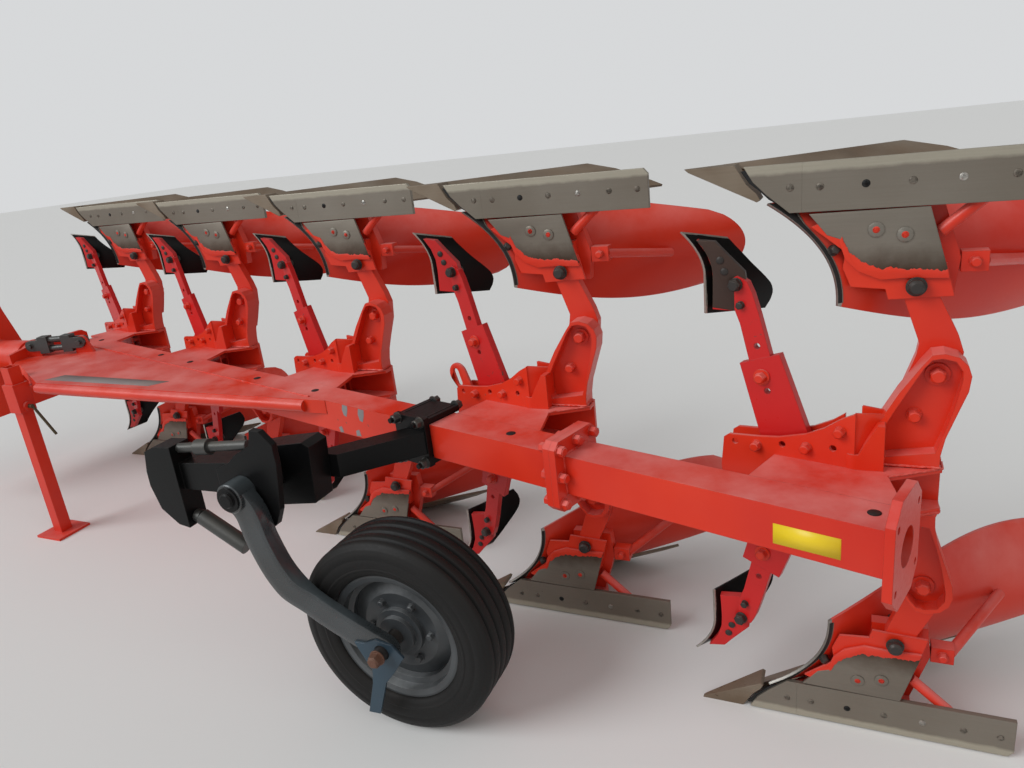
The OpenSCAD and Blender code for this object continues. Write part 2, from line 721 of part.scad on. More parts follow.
module arm(i) color(red) plough() at_furrow(i) {
    channel_half = channel_w / 2;
    both_ways() {
        difference() {
            side_plate(holder_in, holder_out) polygon(holder_outline);
            side_plate(holder_out - pocket_depth, holder_out + 1) polygon(pocket_outline);
            cross_pin(-leg_pivot_back, leg_pivot_up, holder_in - 1, holder_out, leg_bolt_d);
        }
        translate([0, 0, half_beam - cover_t]) linear_extrude(cover_t)
            polygon([
                [110, far_face(110) - seat], [60, 20], [-110, 40], [-110, 0], [-330, 0], [-330, 40], [-210, 110],
                [-240, far_face(-240) - seat]
            ]);
        side_plate(holder_in + 30, lug_at[1] + lug_d / 2)
            polygon([[-140, 96], [-156, 130], [-183, 179], [-200, 179], [-200, 96]]);
        translate([lug_at[0], lug_at[1], 60]) cylinder(h = 40, d = lug_d);
        translate([-200, lug_at[1] - lug_d / 2, 60]) cube([200 + lug_at[0], lug_d, 40]);
        on_arm() {
            difference() {
                side_plate(channel_half - channel_wall, channel_half) polygon(channel_side);
                for (at = channel_holes) cross_pin(at[0], at[1], 0, channel_half + 1, spare_hole_d);
            }
            intersection() {
                side_plate(-channel_half, channel_half) polygon(channel_side);
                cross_plate(-106, channel_front) polygon([
                    [-channel_half, -1], [channel_half, -1], [channel_half, 10], [-channel_half + channel_wall, 10],
                    [-channel_half + channel_wall, 200], [-channel_half, 200]
                ]);
            }
        }
    }
    side_plate(holder_in, 0) polygon([[-330, -66], [-105, -66], [-105, 66], [-330, 66]]);
}

module legs(i) color(red) plough() at_furrow(i) both_ways()
    side_plate(-16 - leg_t, -16 - seat) difference() {
        polygon([
            [-222, 600], [-300, 600], [-303, 480], [-349, 381], [-362, 340], [-355, 270], [-330, 200], [-310, 150],
            [-240, 150], [-222, 210], [-262, 330], [-267, 361], [-227, 479]
        ]);
        translate([-leg_pivot_back, leg_pivot_up]) circle(d = leg_bolt_d);
    }

module lower_side() translate([0, 0, -stand_height]) children();

frog_t = 34;

module frogs(i) color(red) plough() at_furrow(i) both_ways() lower_side() {
    front = -16 - leg_t - seat;
    back = front - frog_t;
    gap = board_t + seat;
    side_plate(back, front) polygon(concat(
        [[-300, share_h + 8], [behind(mould_shape, share_h + 8, back, gap), share_h + 8]],
        [for (h = [130 : 30 : 340]) [behind(mould_shape, h, back, gap), h]],
        [[-335, 342], [-345, 252]]
    ));
    side_plate(back, -landside_t - seat) polygon(concat(
        [[-300, 30]],
        [for (h = [30 : 17 : share_h]) [behind(mould_shape, h, back, share_t + seat), h]],
        [[-300, share_h + 8]]
    ));
    side_plate(holder_in, -8) polygon([
        [-93, 261], [-112, 308], [-188, 315], [-195, 341], [-333, 334], [-314, 256], [-215, 245], [-172, 262],
        [-102, 206]
    ]);
    side_plate(-8 + seat, 0)
        polygon([[-21, 158], [-109, 230], [-172, 284], [-215, 265], [-317, 273], [-271, 124], [-98, 129]]);
}

share_cols = 5;
share_start = landside_t + 62;

function share_run(c, h) =
    (share_start + c / share_cols * (share_reach - share_start)) / sin(line_angle(mould_shape, h));
function share_grid(sink) = [for (h = [0 : share_h / 3 : share_h + 1])
    [for (c = [0 : share_cols]) above_floor(on_board(mould_shape, share_run(c, h), h, sink))]];

module shares() color(steel) plough() for (i = [0 : 4]) at_furrow(i) both_ways() lower_side() {
    grid_plate(share_grid(0), share_grid(share_t));
    side_plate(-share_start + 2, -4) polygon([[302, 0], [156, 0], [128, 48], [104, 72], [96, 88], [104, 92], [292, 16]]);
}

function board_low(t) = share_h + 2 * seat + 118 * pow(max(0, (t - 400) / (board_len - 400)), 1.1);
function board_high(t) = 350 + 124 * sin(130 * t / board_len);
board_cols = 12;
board_rows = 6;
wing_round = 90;
board_start = board_t * 1.6;

function board_spot(r, c, sink) =
    let (
        v = r / board_rows,
        full = board_len - board_start - wing_round * (1 - sqrt(1 - pow(2 * v - 1, 2))),
        t = board_start + c / board_cols * full,
        h = board_low(t) + v * (board_high(t) - board_low(t))
    )
    on_board(mould_shape, t, h, sink);
function board_grid(sink) =
    [for (r = [0 : board_rows]) [for (c = [0 : board_cols]) board_spot(r, c, sink)]];

module mouldboards(i) color(red) plough() at_furrow(i) both_ways() lower_side()
    grid_plate(board_grid(0), board_grid(board_t));

module landsides() color(steel) plough() for (i = [0 : 4]) at_furrow(i) both_ways() lower_side() {
    top = heel_lift + landside_h;
    heel = -landside_len;
    side_plate(-landside_t, 0)
        polygon([[0, top], [heel, top], [heel, heel_lift + 16], [heel + 14, heel_lift], [0, heel_lift]]);
    side_plate(-landside_t, 0)
        polygon([[seat, top], [seat, heel_lift], [134, heel_lift], [112, 44], [82, 75], [28, top]]);
}

// Tubes that hold a mouldboard's tail and a landside's heel off the frog, and the clamp at the frog's back

module stays() color(red) plough() for (i = [0 : 4]) at_furrow(i) both_ways() lower_side() {
    bar([-392, -64, 263], [-539, -323, 313], stay_d);
    translate([-402, -88, 238]) cube([402 - 345 - seat, 40, 48]);
    heel_y = -landside_t - stay_d / 2 - seat;
    bar([-298, heel_y, 186], [-397, heel_y, 99], stay_d);
}

// Skimmers

skim_lift = 162;
skim_at = [6, -30, 0];
sleeve_t = 25;
foot_y0 = -56;
foot_y1 = -34;
// Holes that set the skimmer's height [x, z]
stem_holes = [[81, 228], [109, 349]];

module skimmer_stems() color(red) plough() for (i = [0 : 4]) at_furrow(i) both_ways() {
    on_arm() difference() {
        union() {
            side_plate(-sleeve_t / 2, sleeve_t / 2) polygon([[77, 16], [-63, 30], [49, 333], [157, 298]]);
            side_plate(-skim_bar_t / 2, skim_bar_t / 2) polygon([
                [127, 290], [72, 320], [103, 434], [120, 488], [134, 519], [161, 534], [184, 522], [192, 502],
                [175, 457], [155, 406]
            ]);
        }
        for (at = stem_holes) cross_pin(at[0], at[1], -sleeve_t, sleeve_t, spare_hole_d);
    }
    floor_z = stand_height - skim_lift;
    side_plate(foot_y0, foot_y1) polygon(concat(
        [for (h = [20 : 37 : 205]) [
            skim_at[0] + behind(skim_shape, h, foot_y0 - skim_at[1], skim_t + seat), floor_z - h
        ]],
        [[156, 439], [132, 490], [139, 542], [185, 591], [213, 623]]
    ));
}

skim_rows = 4;
skim_cols = 5;
skim_start = 14;
skim_h = 217;
skim_end_low = 31;
skim_end_drop = 5;
skim_ends = [0.55, 0.58, 0.77, 0.98, 1];

function skim_spot(r, c, sink) =
    let (
        v = r / skim_rows,
        s = c / skim_cols,
        t = skim_start + s * (skim_len * skim_ends[r] - skim_start),
        h = skim_h * v + s * (skim_end_low - skim_end_drop * v)
    )
    on_board(skim_shape, t, h, sink);
function skim_grid(sink) = [for (r = [0 : skim_rows]) [for (c = [0 : skim_cols]) skim_spot(r, c, sink)]];

module skimmer_boards() color("black") plough() for (i = [0 : 4]) at_furrow(i) both_ways()
    translate(skim_at + [0, 0, skim_lift - stand_height]) grid_plate(skim_grid(0), skim_grid(skim_t));

headstock();
hitch_shaft();
cylinder_barrel();
cylinder_rod();
turnover_shaft();
front_frame();
offset_screw();
main_beam();
rear_beam();
stand_sleeve();
stand_leg();
stand_pin();
wheel_clamp();
wheel_arm();
wheel_head();
depth_screws();
wheel_leg();
wheel_axle();
wheel_scraper();
wheel_rim();
tyre();
arm(0);  // arm_1
arm(1);  // arm_2
arm(2);  // arm_3
arm(3);  // arm_4
arm(4);  // arm_5
legs(0);  // legs_1
legs(1);  // legs_2
legs(2);  // legs_3
legs(3);  // legs_4
legs(4);  // legs_5
frogs(0);  // frogs_1
frogs(1);  // frogs_2
frogs(2);  // frogs_3
frogs(3);  // frogs_4
frogs(4);  // frogs_5
mouldboards(0);  // mouldboards_1
mouldboards(1);  // mouldboards_2
mouldboards(2);  // mouldboards_3
mouldboards(3);  // mouldboards_4
mouldboards(4);  // mouldboards_5
shares();
landsides();
stays();
skimmer_stems();
skimmer_boards();
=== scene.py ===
import logging
import math
import random
from dataclasses import dataclass, field, replace
from enum import Enum
from functools import partial
from typing import Callable, Iterable, Optional, Sequence

import bmesh
import bpy
from mathutils import Matrix, Vector


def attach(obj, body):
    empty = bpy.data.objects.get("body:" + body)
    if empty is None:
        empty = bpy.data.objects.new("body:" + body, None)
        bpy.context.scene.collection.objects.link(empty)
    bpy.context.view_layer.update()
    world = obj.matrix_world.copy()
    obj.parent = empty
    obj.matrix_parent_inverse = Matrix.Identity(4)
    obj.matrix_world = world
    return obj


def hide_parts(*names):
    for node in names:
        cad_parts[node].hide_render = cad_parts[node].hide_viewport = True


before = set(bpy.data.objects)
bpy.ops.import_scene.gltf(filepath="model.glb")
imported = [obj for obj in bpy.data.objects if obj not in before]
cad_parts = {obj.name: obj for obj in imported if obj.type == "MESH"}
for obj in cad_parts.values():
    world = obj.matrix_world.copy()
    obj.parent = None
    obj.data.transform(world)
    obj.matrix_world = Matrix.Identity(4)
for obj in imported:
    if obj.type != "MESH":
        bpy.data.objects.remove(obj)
LOG = logging.getLogger("plough")

Pair = tuple[float, float]
Point = tuple[float, float, float]
Colour = tuple[float, float, float]


class Body(Enum):
    """The bodies that a piece can ride on."""

    HITCH = "hitch"
    CYLINDER = "cylinder"
    FRAME = "frame"
    STAND = "stand"
    CARRIER = "wheel_carrier"
    WHEEL = "wheel"


class Slot(Enum):
    """The record's material slots."""

    RED = "red_paint"
    WORN = "worn_steel"
    DARK = "dark_steel"
    BRIGHT = "bright_steel"
    BLACK = "black_paint"
    RIM = "rim_paint"
    RUBBER = "tyre_rubber"


class Side(Enum):
    """The upper set of bodies and the lower set that mirrors it."""

    UPPER = 1
    LOWER = -1


@dataclass(frozen=True)
class Layout:
    """Driving sizes of the plough in millimetres, as the construction has them.

    X is ahead of the first landside's front joint, y to its left and z above the beam's middle.
    """

    top_ahead: float = 910.0
    rotor_left: float = 400.0
    top_up: float = 385.0
    furrow_gap: float = 1000.0
    furrow_step: float = 300.0
    furrows: int = 5
    stand_height: float = 812.0
    beam_left: float = 254.0
    half_beam: float = 60.0
    arm_left: float = 5.0
    joint_back: float = 3375.0
    beam_back: float = 4245.0
    wheel_back: float = 2867.0
    wheel_left: float = 1502.0
    tyre_d: float = 670.0
    tyre_w: float = 205.0

    @property
    def swing(self) -> float:
        """Angle of the beam to the travel, in radians."""
        return math.atan(self.furrow_step / self.furrow_gap)

    @property
    def stretch(self) -> float:
        """Length along the beam for each unit along the travel."""
        return 1 / math.cos(self.swing)

    @property
    def wheel_up(self) -> float:
        """Height of the wheel's middle above the beam's middle."""
        return self.tyre_d / 2 - self.stand_height

    def spot(self, x: float, y: float, z: float) -> Vector:
        """A place given in millimetres, in the frame's metres."""
        return Vector((x - self.top_ahead, y - self.rotor_left, z - self.top_up)) / 1000

    def beam_spot(self, along: float, out: float, z: float) -> Vector:
        """A place along the beam from its middle line, out to the left and up."""
        c, s = math.cos(self.swing), math.sin(self.swing)
        return self.spot(along * c + out * s, self.beam_left - along * s + out * c, z)

    def near_face(self, x: float) -> float:
        """How far left the beam's near face lies at x."""
        return self.beam_left - self.furrow_step / self.furrow_gap * x + self.half_beam * self.stretch


LAYOUT = Layout()
AHEAD = Vector((1, 0, 0))
LEFT = Vector((0, 1, 0))
UP = Vector((0, 0, 1))
BEAM_OUT = Vector((math.sin(LAYOUT.swing), math.cos(LAYOUT.swing), 0.0))
# Points as near as this are merged, in metres.
SAME_SPOT = 1e-6
# Edges up to this angle are shaded smooth, in degrees.
SMOOTH_ANGLE = 35.0
# Radius of a washer that the head hides, in shares of the head's width.
WITHIN_HEAD = 0.3


@dataclass(frozen=True)
class Place:
    """One furrow's body, above or below the beam."""

    furrow: int
    side: Side

    def at(self, x: float, y: float, z: float) -> Vector:
        """A place beside this furrow's front landside joint, z away from the beam's middle."""
        return LAYOUT.spot(
            x - self.furrow * LAYOUT.furrow_gap, y + self.furrow * LAYOUT.furrow_step, z * self.side.value
        )

    def at_height(self, x: float, y: float, h: float) -> Vector:
        """A place at a height above the ground line of this body."""
        return self.at(x, y, LAYOUT.stand_height - h)

    def on_arm(self, u: float, v: float, z: float) -> Vector:
        """A place along the skimmer channel, out from its middle, and away from the beam's middle."""
        c, s = math.cos(LAYOUT.swing), math.sin(LAYOUT.swing)
        return self.at(u * c + v * s, LAYOUT.arm_left - u * s + v * c, z)


PLACES = [Place(i, side) for i in range(LAYOUT.furrows) for side in Side]


class Graph:
    """A node tree that is filled one node at a time."""

    def __init__(self, tree: bpy.types.NodeTree) -> None:
        """Keeps the tree to fill."""
        self.tree = tree

    def node(self, kind: str, inputs: dict | None = None, **settings) -> bpy.types.Node:
        """Adds a node.

        Args:
            kind: The node's type.
            inputs: Values, or sockets to link, by an input's name or number.
            settings: Properties of the node.

        Returns:
            The new node.
        """
        made = self.tree.nodes.new(kind)
        for name, value in settings.items():
            setattr(made, name, value)
        for key, value in (inputs or {}).items():
            if isinstance(value, bpy.types.NodeSocket):
                self.tree.links.new(value, made.inputs[key])
            else:
                made.inputs[key].default_value = value
        return made

    def math(self, operation: str, a: object, b: object = 0.0) -> bpy.types.NodeSocket:
        """Adds a Math node and returns its result."""
        return self.node("ShaderNodeMath", {0: a, 1: b}, operation=operation).outputs[0]

    def span(self, value: object, low: float, high: float, to_low: float = 0.0,
             to_high: float = 1.0) -> bpy.types.NodeSocket:
        """Maps a value's range onto another, clamped, and returns the result."""
        inputs = {0: value, 1: low, 2: high, 3: to_low, 4: to_high}
        return self.node("ShaderNodeMapRange", inputs).outputs[0]

    def mix(self, share: object, a: object, b: object) -> bpy.types.NodeSocket:
        """Mixes two colours and returns the result."""
        inputs = {0: share, 6: rgba(a), 7: rgba(b)}
        return self.node("ShaderNodeMix", inputs, data_type="RGBA").outputs[2]

    def noise(self, where: object, scale: float, detail: float = 4.0,
              rough: float = 0.55) -> bpy.types.NodeSocket:
        """Adds a noise texture and returns its value."""
        inputs = {"Vector": where, "Scale": scale, "Detail": detail, "Roughness": rough}
        return self.node("ShaderNodeTexNoise", inputs).outputs[0]


def rgba(value: object) -> object:
    """Adds full opacity to a plain colour and leaves a socket as it is."""
    return (*value, 1.0) if isinstance(value, tuple) and len(value) == 3 else value


def shader_group(name: str, inputs: dict[str, float], outputs: dict[str, str]) -> tuple[Graph, dict, dict]:
    """Starts a shader node group.

    Args:
        name: The group's name.
        inputs: Each number that the group takes, with its usual value.
        outputs: Each output's name, with its socket type.

    Returns:
        The graph to fill, the sockets of its input and those of its output.
    """
    tree = bpy.data.node_groups.new(name, "ShaderNodeTree")
    for key, value in inputs.items():
        tree.interface.new_socket(key, in_out="INPUT", socket_type="NodeSocketFloat").default_value = value
    for key, kind in outputs.items():
        tree.interface.new_socket(key, in_out="OUTPUT", socket_type=kind)
    graph = Graph(tree)
    source = graph.node("NodeGroupInput")
    sink = graph.node("NodeGroupOutput")
    return graph, source.outputs, sink.inputs


class Effects:
    """The shader effects that several finishes share."""

    def __init__(self) -> None:
        """Builds each group once."""
        self.edges = self._edges()
        self.dust_sheen_film = self._dust_sheen_film()
        self.tone = self._tone()
        self.specks = self._specks()
        self.grain = self._grain()

    def _edges(self) -> bpy.types.NodeTree:
        """Edge wear: a rounded normal, and a ragged mask along the outer edges."""
        graph, given, out = shader_group(
            "edge_wear", {"Radius": 0.003, "Ragged": 60.0, "Wear": 0.5},
            {"Mask": "NodeSocketFloat", "Normal": "NodeSocketVector"},
        )
        link = graph.tree.links.new
        bevel = graph.node("ShaderNodeBevel", {"Radius": given["Radius"]}, samples=4)
        flat = graph.node("ShaderNodeNewGeometry").outputs["Normal"]
        same = graph.node("ShaderNodeVectorMath", {0: bevel.outputs[0], 1: flat}, operation="DOT_PRODUCT")
        edge = graph.span(same.outputs["Value"], 0.995, 0.80)
        where = graph.node("ShaderNodeTexCoord").outputs["Object"]
        rough = graph.noise(where, 1.0, 5.0, 0.65)
        link(given["Ragged"], rough.node.inputs["Scale"])
        breakup = graph.span(rough, 0.42, 0.62)
        mask = graph.math("MULTIPLY", graph.math("MULTIPLY", edge, breakup), given["Wear"])
        link(mask, out["Mask"])
        link(bevel.outputs[0], out["Normal"])
        return graph.tree

    def _dust_sheen_film(self) -> bpy.types.NodeTree:
        """Dust, and on some finishes a painted sheen of the sky: most on faces that look up at rest, in soft
        patches.
        """
        graph, given, out = shader_group(
            "dust_and_sheen_film", {"Scale": 3.0, "Amount": 0.5, "Lying": 1.0, "Even": 0.04},
            {"Mask": "NodeSocketFloat"},
        )
        link = graph.tree.links.new
        coords = graph.node("ShaderNodeTexCoord").outputs
        up = graph.node("ShaderNodeSeparateXYZ", {0: coords["Normal"]}).outputs[2]
        cloud = graph.noise(coords["Object"], 1.0, 6.0, 0.6)
        link(given["Scale"], cloud.node.inputs["Scale"])
        patches = graph.span(cloud, 0.35, 0.75)
        lying = graph.math("MULTIPLY", graph.span(up, 0.0, 1.0), given["Lying"])
        shade = graph.math("MULTIPLY", graph.math("ADD", lying, given["Even"]), patches)
        link(graph.math("MULTIPLY", shade, given["Amount"]), out["Mask"])
        return graph.tree

    def _tone(self) -> bpy.types.NodeTree:
        """Slow change of tone over a surface."""
        graph, given, out = shader_group(
            "tone_drift", {"Scale": 2.0, "Contrast": 1.0}, {"Tone": "NodeSocketFloat"}
        )
        where = graph.node("ShaderNodeTexCoord").outputs["Object"]
        cloud = graph.noise(where, 1.0, 3.0, 0.5)
        graph.tree.links.new(given["Scale"], cloud.node.inputs["Scale"])
        spread = graph.math("MULTIPLY", graph.math("SUBTRACT", cloud, 0.5), given["Contrast"])
        graph.tree.links.new(graph.math("ADD", spread, 0.5), out["Tone"])
        return graph.tree

    def _specks(self) -> bpy.types.NodeTree:
        """Small chips and spots with a ragged outline."""
        graph, given, out = shader_group(
            "chips", {"Scale": 40.0, "Share": 0.3}, {"Mask": "NodeSocketFloat"}
        )
        link = graph.tree.links.new
        where = graph.node("ShaderNodeTexCoord").outputs["Object"]
        fine = graph.noise(where, 1.0, 6.0, 0.7)
        link(given["Scale"], fine.node.inputs["Scale"])
        wide = graph.noise(where, 2.2, 2.0, 0.5)
        both = graph.math("ADD", graph.math("MULTIPLY", fine, 0.75), graph.math("MULTIPLY", wide, 0.35))
        level = graph.math("SUBTRACT", 0.78, graph.math("MULTIPLY", given["Share"], 0.2))
        over = graph.math("SUBTRACT", both, level)
        link(graph.span(over, 0.0, 0.02), out["Mask"])
        return graph.tree

    def _grain(self) -> bpy.types.NodeTree:
        """Fine scratches that run along the object's own X axis."""
        graph, given, out = shader_group(
            "scour_grain", {"Along": 6.0, "Across": 240.0}, {"Height": "NodeSocketFloat"}
        )
        where = graph.node("ShaderNodeTexCoord").outputs["Object"]
        along, across = given["Along"], given["Across"]
        scale = graph.node("ShaderNodeCombineXYZ", {0: along, 1: across, 2: across})
        run = graph.node("ShaderNodeMapping", {0: where, 3: scale.outputs[0]}).outputs[0]
        graph.tree.links.new(graph.noise(run, 1.0, 3.0, 0.6), out["Height"])
        return graph.tree

    @staticmethod
    def use(graph: Graph, tree: bpy.types.NodeTree, **values: float) -> bpy.types.bpy_prop_collection:
        """Places a group in a material with its own values and returns its outputs."""
        node = graph.node("ShaderNodeGroup", node_tree=tree)
        for key, value in values.items():
            node.inputs[key.capitalize()].default_value = value
        return node.outputs


@dataclass(frozen=True)
class Finish:
    """A surface finish: paint, steel or rubber by its values.

    Args:
        name: The material's name.
        slot: The record's material slot that it stands for.
        colour: Main colour.
        drift: Colour of its darker or older areas.
        bare: Colour under the finish, at worn edges and chips.
        dust_and_sheen: Colour of the dusty film on it; on the red paint this is also a painted sheen of the
            sky, and on the wheel leg it is only that.
        metal: How far it reflects as a metal.
        roughness: Roughness where no dust lies.
        coat: Strength of the clear coat where no dust lies.
        gloss: Strength of the plain reflection.
        edge_radius: Radius of the rounded edges, in metres.
        edge_wear: How far the edges are worn.
        chips: How many chips there are, and chip_scale how fine they are.
        dust_and_sheen_amount: How much of that dusty film and painted sheen lies on it.
        tone_scale: How fast its tone changes.
        grain: Strength of the scratches along the object's X axis.
        bump: Depth of the fine unevenness, and bump_scale how fine it is.
        stain: Colour of a stain that grows from the height stain_from to stain_to, in metres.
        stain_wave: How far the stain's edge wanders, in metres.
        under: What the soil has scoured free where a piece keeps its own wear.
    """

    name: str
    slot: Slot
    colour: Colour
    drift: Colour
    bare: Colour = (0.10, 0.085, 0.07)
    dust_and_sheen: Colour = (0.42, 0.33, 0.25)
    metal: float = 0.0
    roughness: float = 0.4
    coat: float = 0.0
    gloss: float = 0.5
    edge_radius: float = 0.003
    edge_wear: float = 0.5
    chips: float = 0.2
    chip_scale: float = 45.0
    dust_and_sheen_amount: float = 0.3
    tone_scale: float = 2.5
    grain: float = 0.0
    bump: float = 0.08
    bump_scale: float = 90.0
    stain: Optional[Colour] = None
    stain_from: float = 0.0
    stain_to: float = 0.0
    stain_wave: float = 0.05
    under: Optional["Finish"] = None

    def make(self, effects: Effects) -> bpy.types.Material:
        """Builds the material from the shared effects."""
        material = bpy.data.materials.new(self.name)
        material.use_nodes = True
        graph = Graph(material.node_tree)
        shader = material.node_tree.nodes["Principled BSDF"]
        link = material.node_tree.links.new
        edges = effects.use(graph, effects.edges, radius=self.edge_radius, wear=self.edge_wear)
        tone = effects.use(graph, effects.tone, scale=self.tone_scale, contrast=2.2)["Tone"]
        # A soft film on faces that look up: dusty, and on the red paint and the wheel leg also a painted
        # sheen of the sky.
        dust_and_sheen = effects.use(graph, effects.dust_sheen_film, scale=3.5, amount=self.dust_and_sheen_amount)["Mask"]
        chips = effects.use(graph, effects.specks, scale=self.chip_scale, share=self.chips)["Mask"]
        where = graph.node("ShaderNodeTexCoord").outputs["Object"]
        fine = graph.noise(where, self.bump_scale, 5.0, 0.6)
        base = graph.mix(tone, self.drift, self.colour)
        worn = graph.math("MAXIMUM", edges["Mask"], chips)
        base = graph.mix(worn, base, self.bare)
        base = graph.mix(dust_and_sheen, base, self.dust_and_sheen)
        if self.stain:
            base = graph.mix(self._stained(graph, where), base, self.stain)
        height = graph.math("SUBTRACT", fine, graph.math("MULTIPLY", chips, 0.6))
        if self.grain:
            lines = effects.use(graph, effects.grain)["Height"]
            base = graph.mix(graph.span(lines, 0.35, 0.7, 0.0, self.grain), base, self.bare)
            height = graph.math("ADD", height, graph.math("MULTIPLY", lines, 1.5))
        rough = graph.math("ADD", self.roughness, graph.math("MULTIPLY", dust_and_sheen, 0.5))
        rough = graph.math("ADD", rough, graph.math("MULTIPLY", graph.math("SUBTRACT", fine, 0.5), 0.25))
        bump = graph.node(
            "ShaderNodeBump",
            {"Strength": self.bump, "Distance": 0.002, "Height": height, "Normal": edges["Normal"]},
        )
        metal: object = graph.math("MULTIPLY", graph.math("SUBTRACT", 1.0, dust_and_sheen), self.metal)
        coat: object = graph.span(dust_and_sheen, 0.0, 0.6, self.coat, 0.0)
        if self.under:
            scoured = self._scoured(graph, fine)
            steel = graph.mix(tone, self.under.drift, self.under.colour)
            lines = effects.use(graph, effects.grain, along=14.0, across=60.0)["Height"]
            steel = graph.mix(graph.span(lines, 0.45, 0.75, 0.0, 0.35), steel, self.under.bare)
            base = graph.mix(scoured, base, steel)
            metal = graph.math("MAXIMUM", metal, graph.math("MULTIPLY", scoured, self.under.metal))
            coat = graph.math("MULTIPLY", coat, graph.math("SUBTRACT", 1.0, scoured))
        shader.inputs["Specular IOR Level"].default_value = self.gloss
        link(base, shader.inputs["Base Color"])
        link(graph.math("MINIMUM", rough, 1.0), shader.inputs["Roughness"])
        link(bump.outputs[0], shader.inputs["Normal"])
        if self.metal or self.under:
            link(metal, shader.inputs["Metallic"])
        if self.coat:
            link(coat, shader.inputs["Coat Weight"])
            shader.inputs["Coat Roughness"].default_value = 0.18
        return material

    def _stained(self, graph: Graph, where: bpy.types.NodeSocket) -> bpy.types.NodeSocket:
        """A ragged stain that grows between two heights above each body's own ground line."""
        z = graph.node("ShaderNodeSeparateXYZ", {0: where}).outputs[2]
        off = graph.math("ABSOLUTE", graph.math("ADD", z, LAYOUT.top_up / 1000))
        height = graph.math("SUBTRACT", LAYOUT.stand_height / 1000, off)
        cloud = graph.math("SUBTRACT", graph.noise(where, 22.0, 5.0, 0.6), 0.5)
        wave = graph.math("MULTIPLY", cloud, self.stain_wave)
        return graph.span(graph.math("ADD", height, wave), self.stain_from, self.stain_to)

    def _scoured(self, graph: Graph, fine: bpy.types.NodeSocket) -> bpy.types.NodeSocket:
        """Where the piece's own wear has taken the paint off, with a ragged edge."""
        wear = graph.node("ShaderNodeAttribute", attribute_name="wear").outputs["Fac"]
        where = graph.node("ShaderNodeTexCoord").outputs["Object"]
        wide = graph.math("MULTIPLY", graph.math("SUBTRACT", graph.noise(where, 9.0, 5.0, 0.6), 0.5), 0.9)
        near = graph.math("MULTIPLY", graph.math("SUBTRACT", fine, 0.5), 0.3)
        return graph.span(graph.math("ADD", wear, graph.math("ADD", wide, near)), 0.46, 0.56)


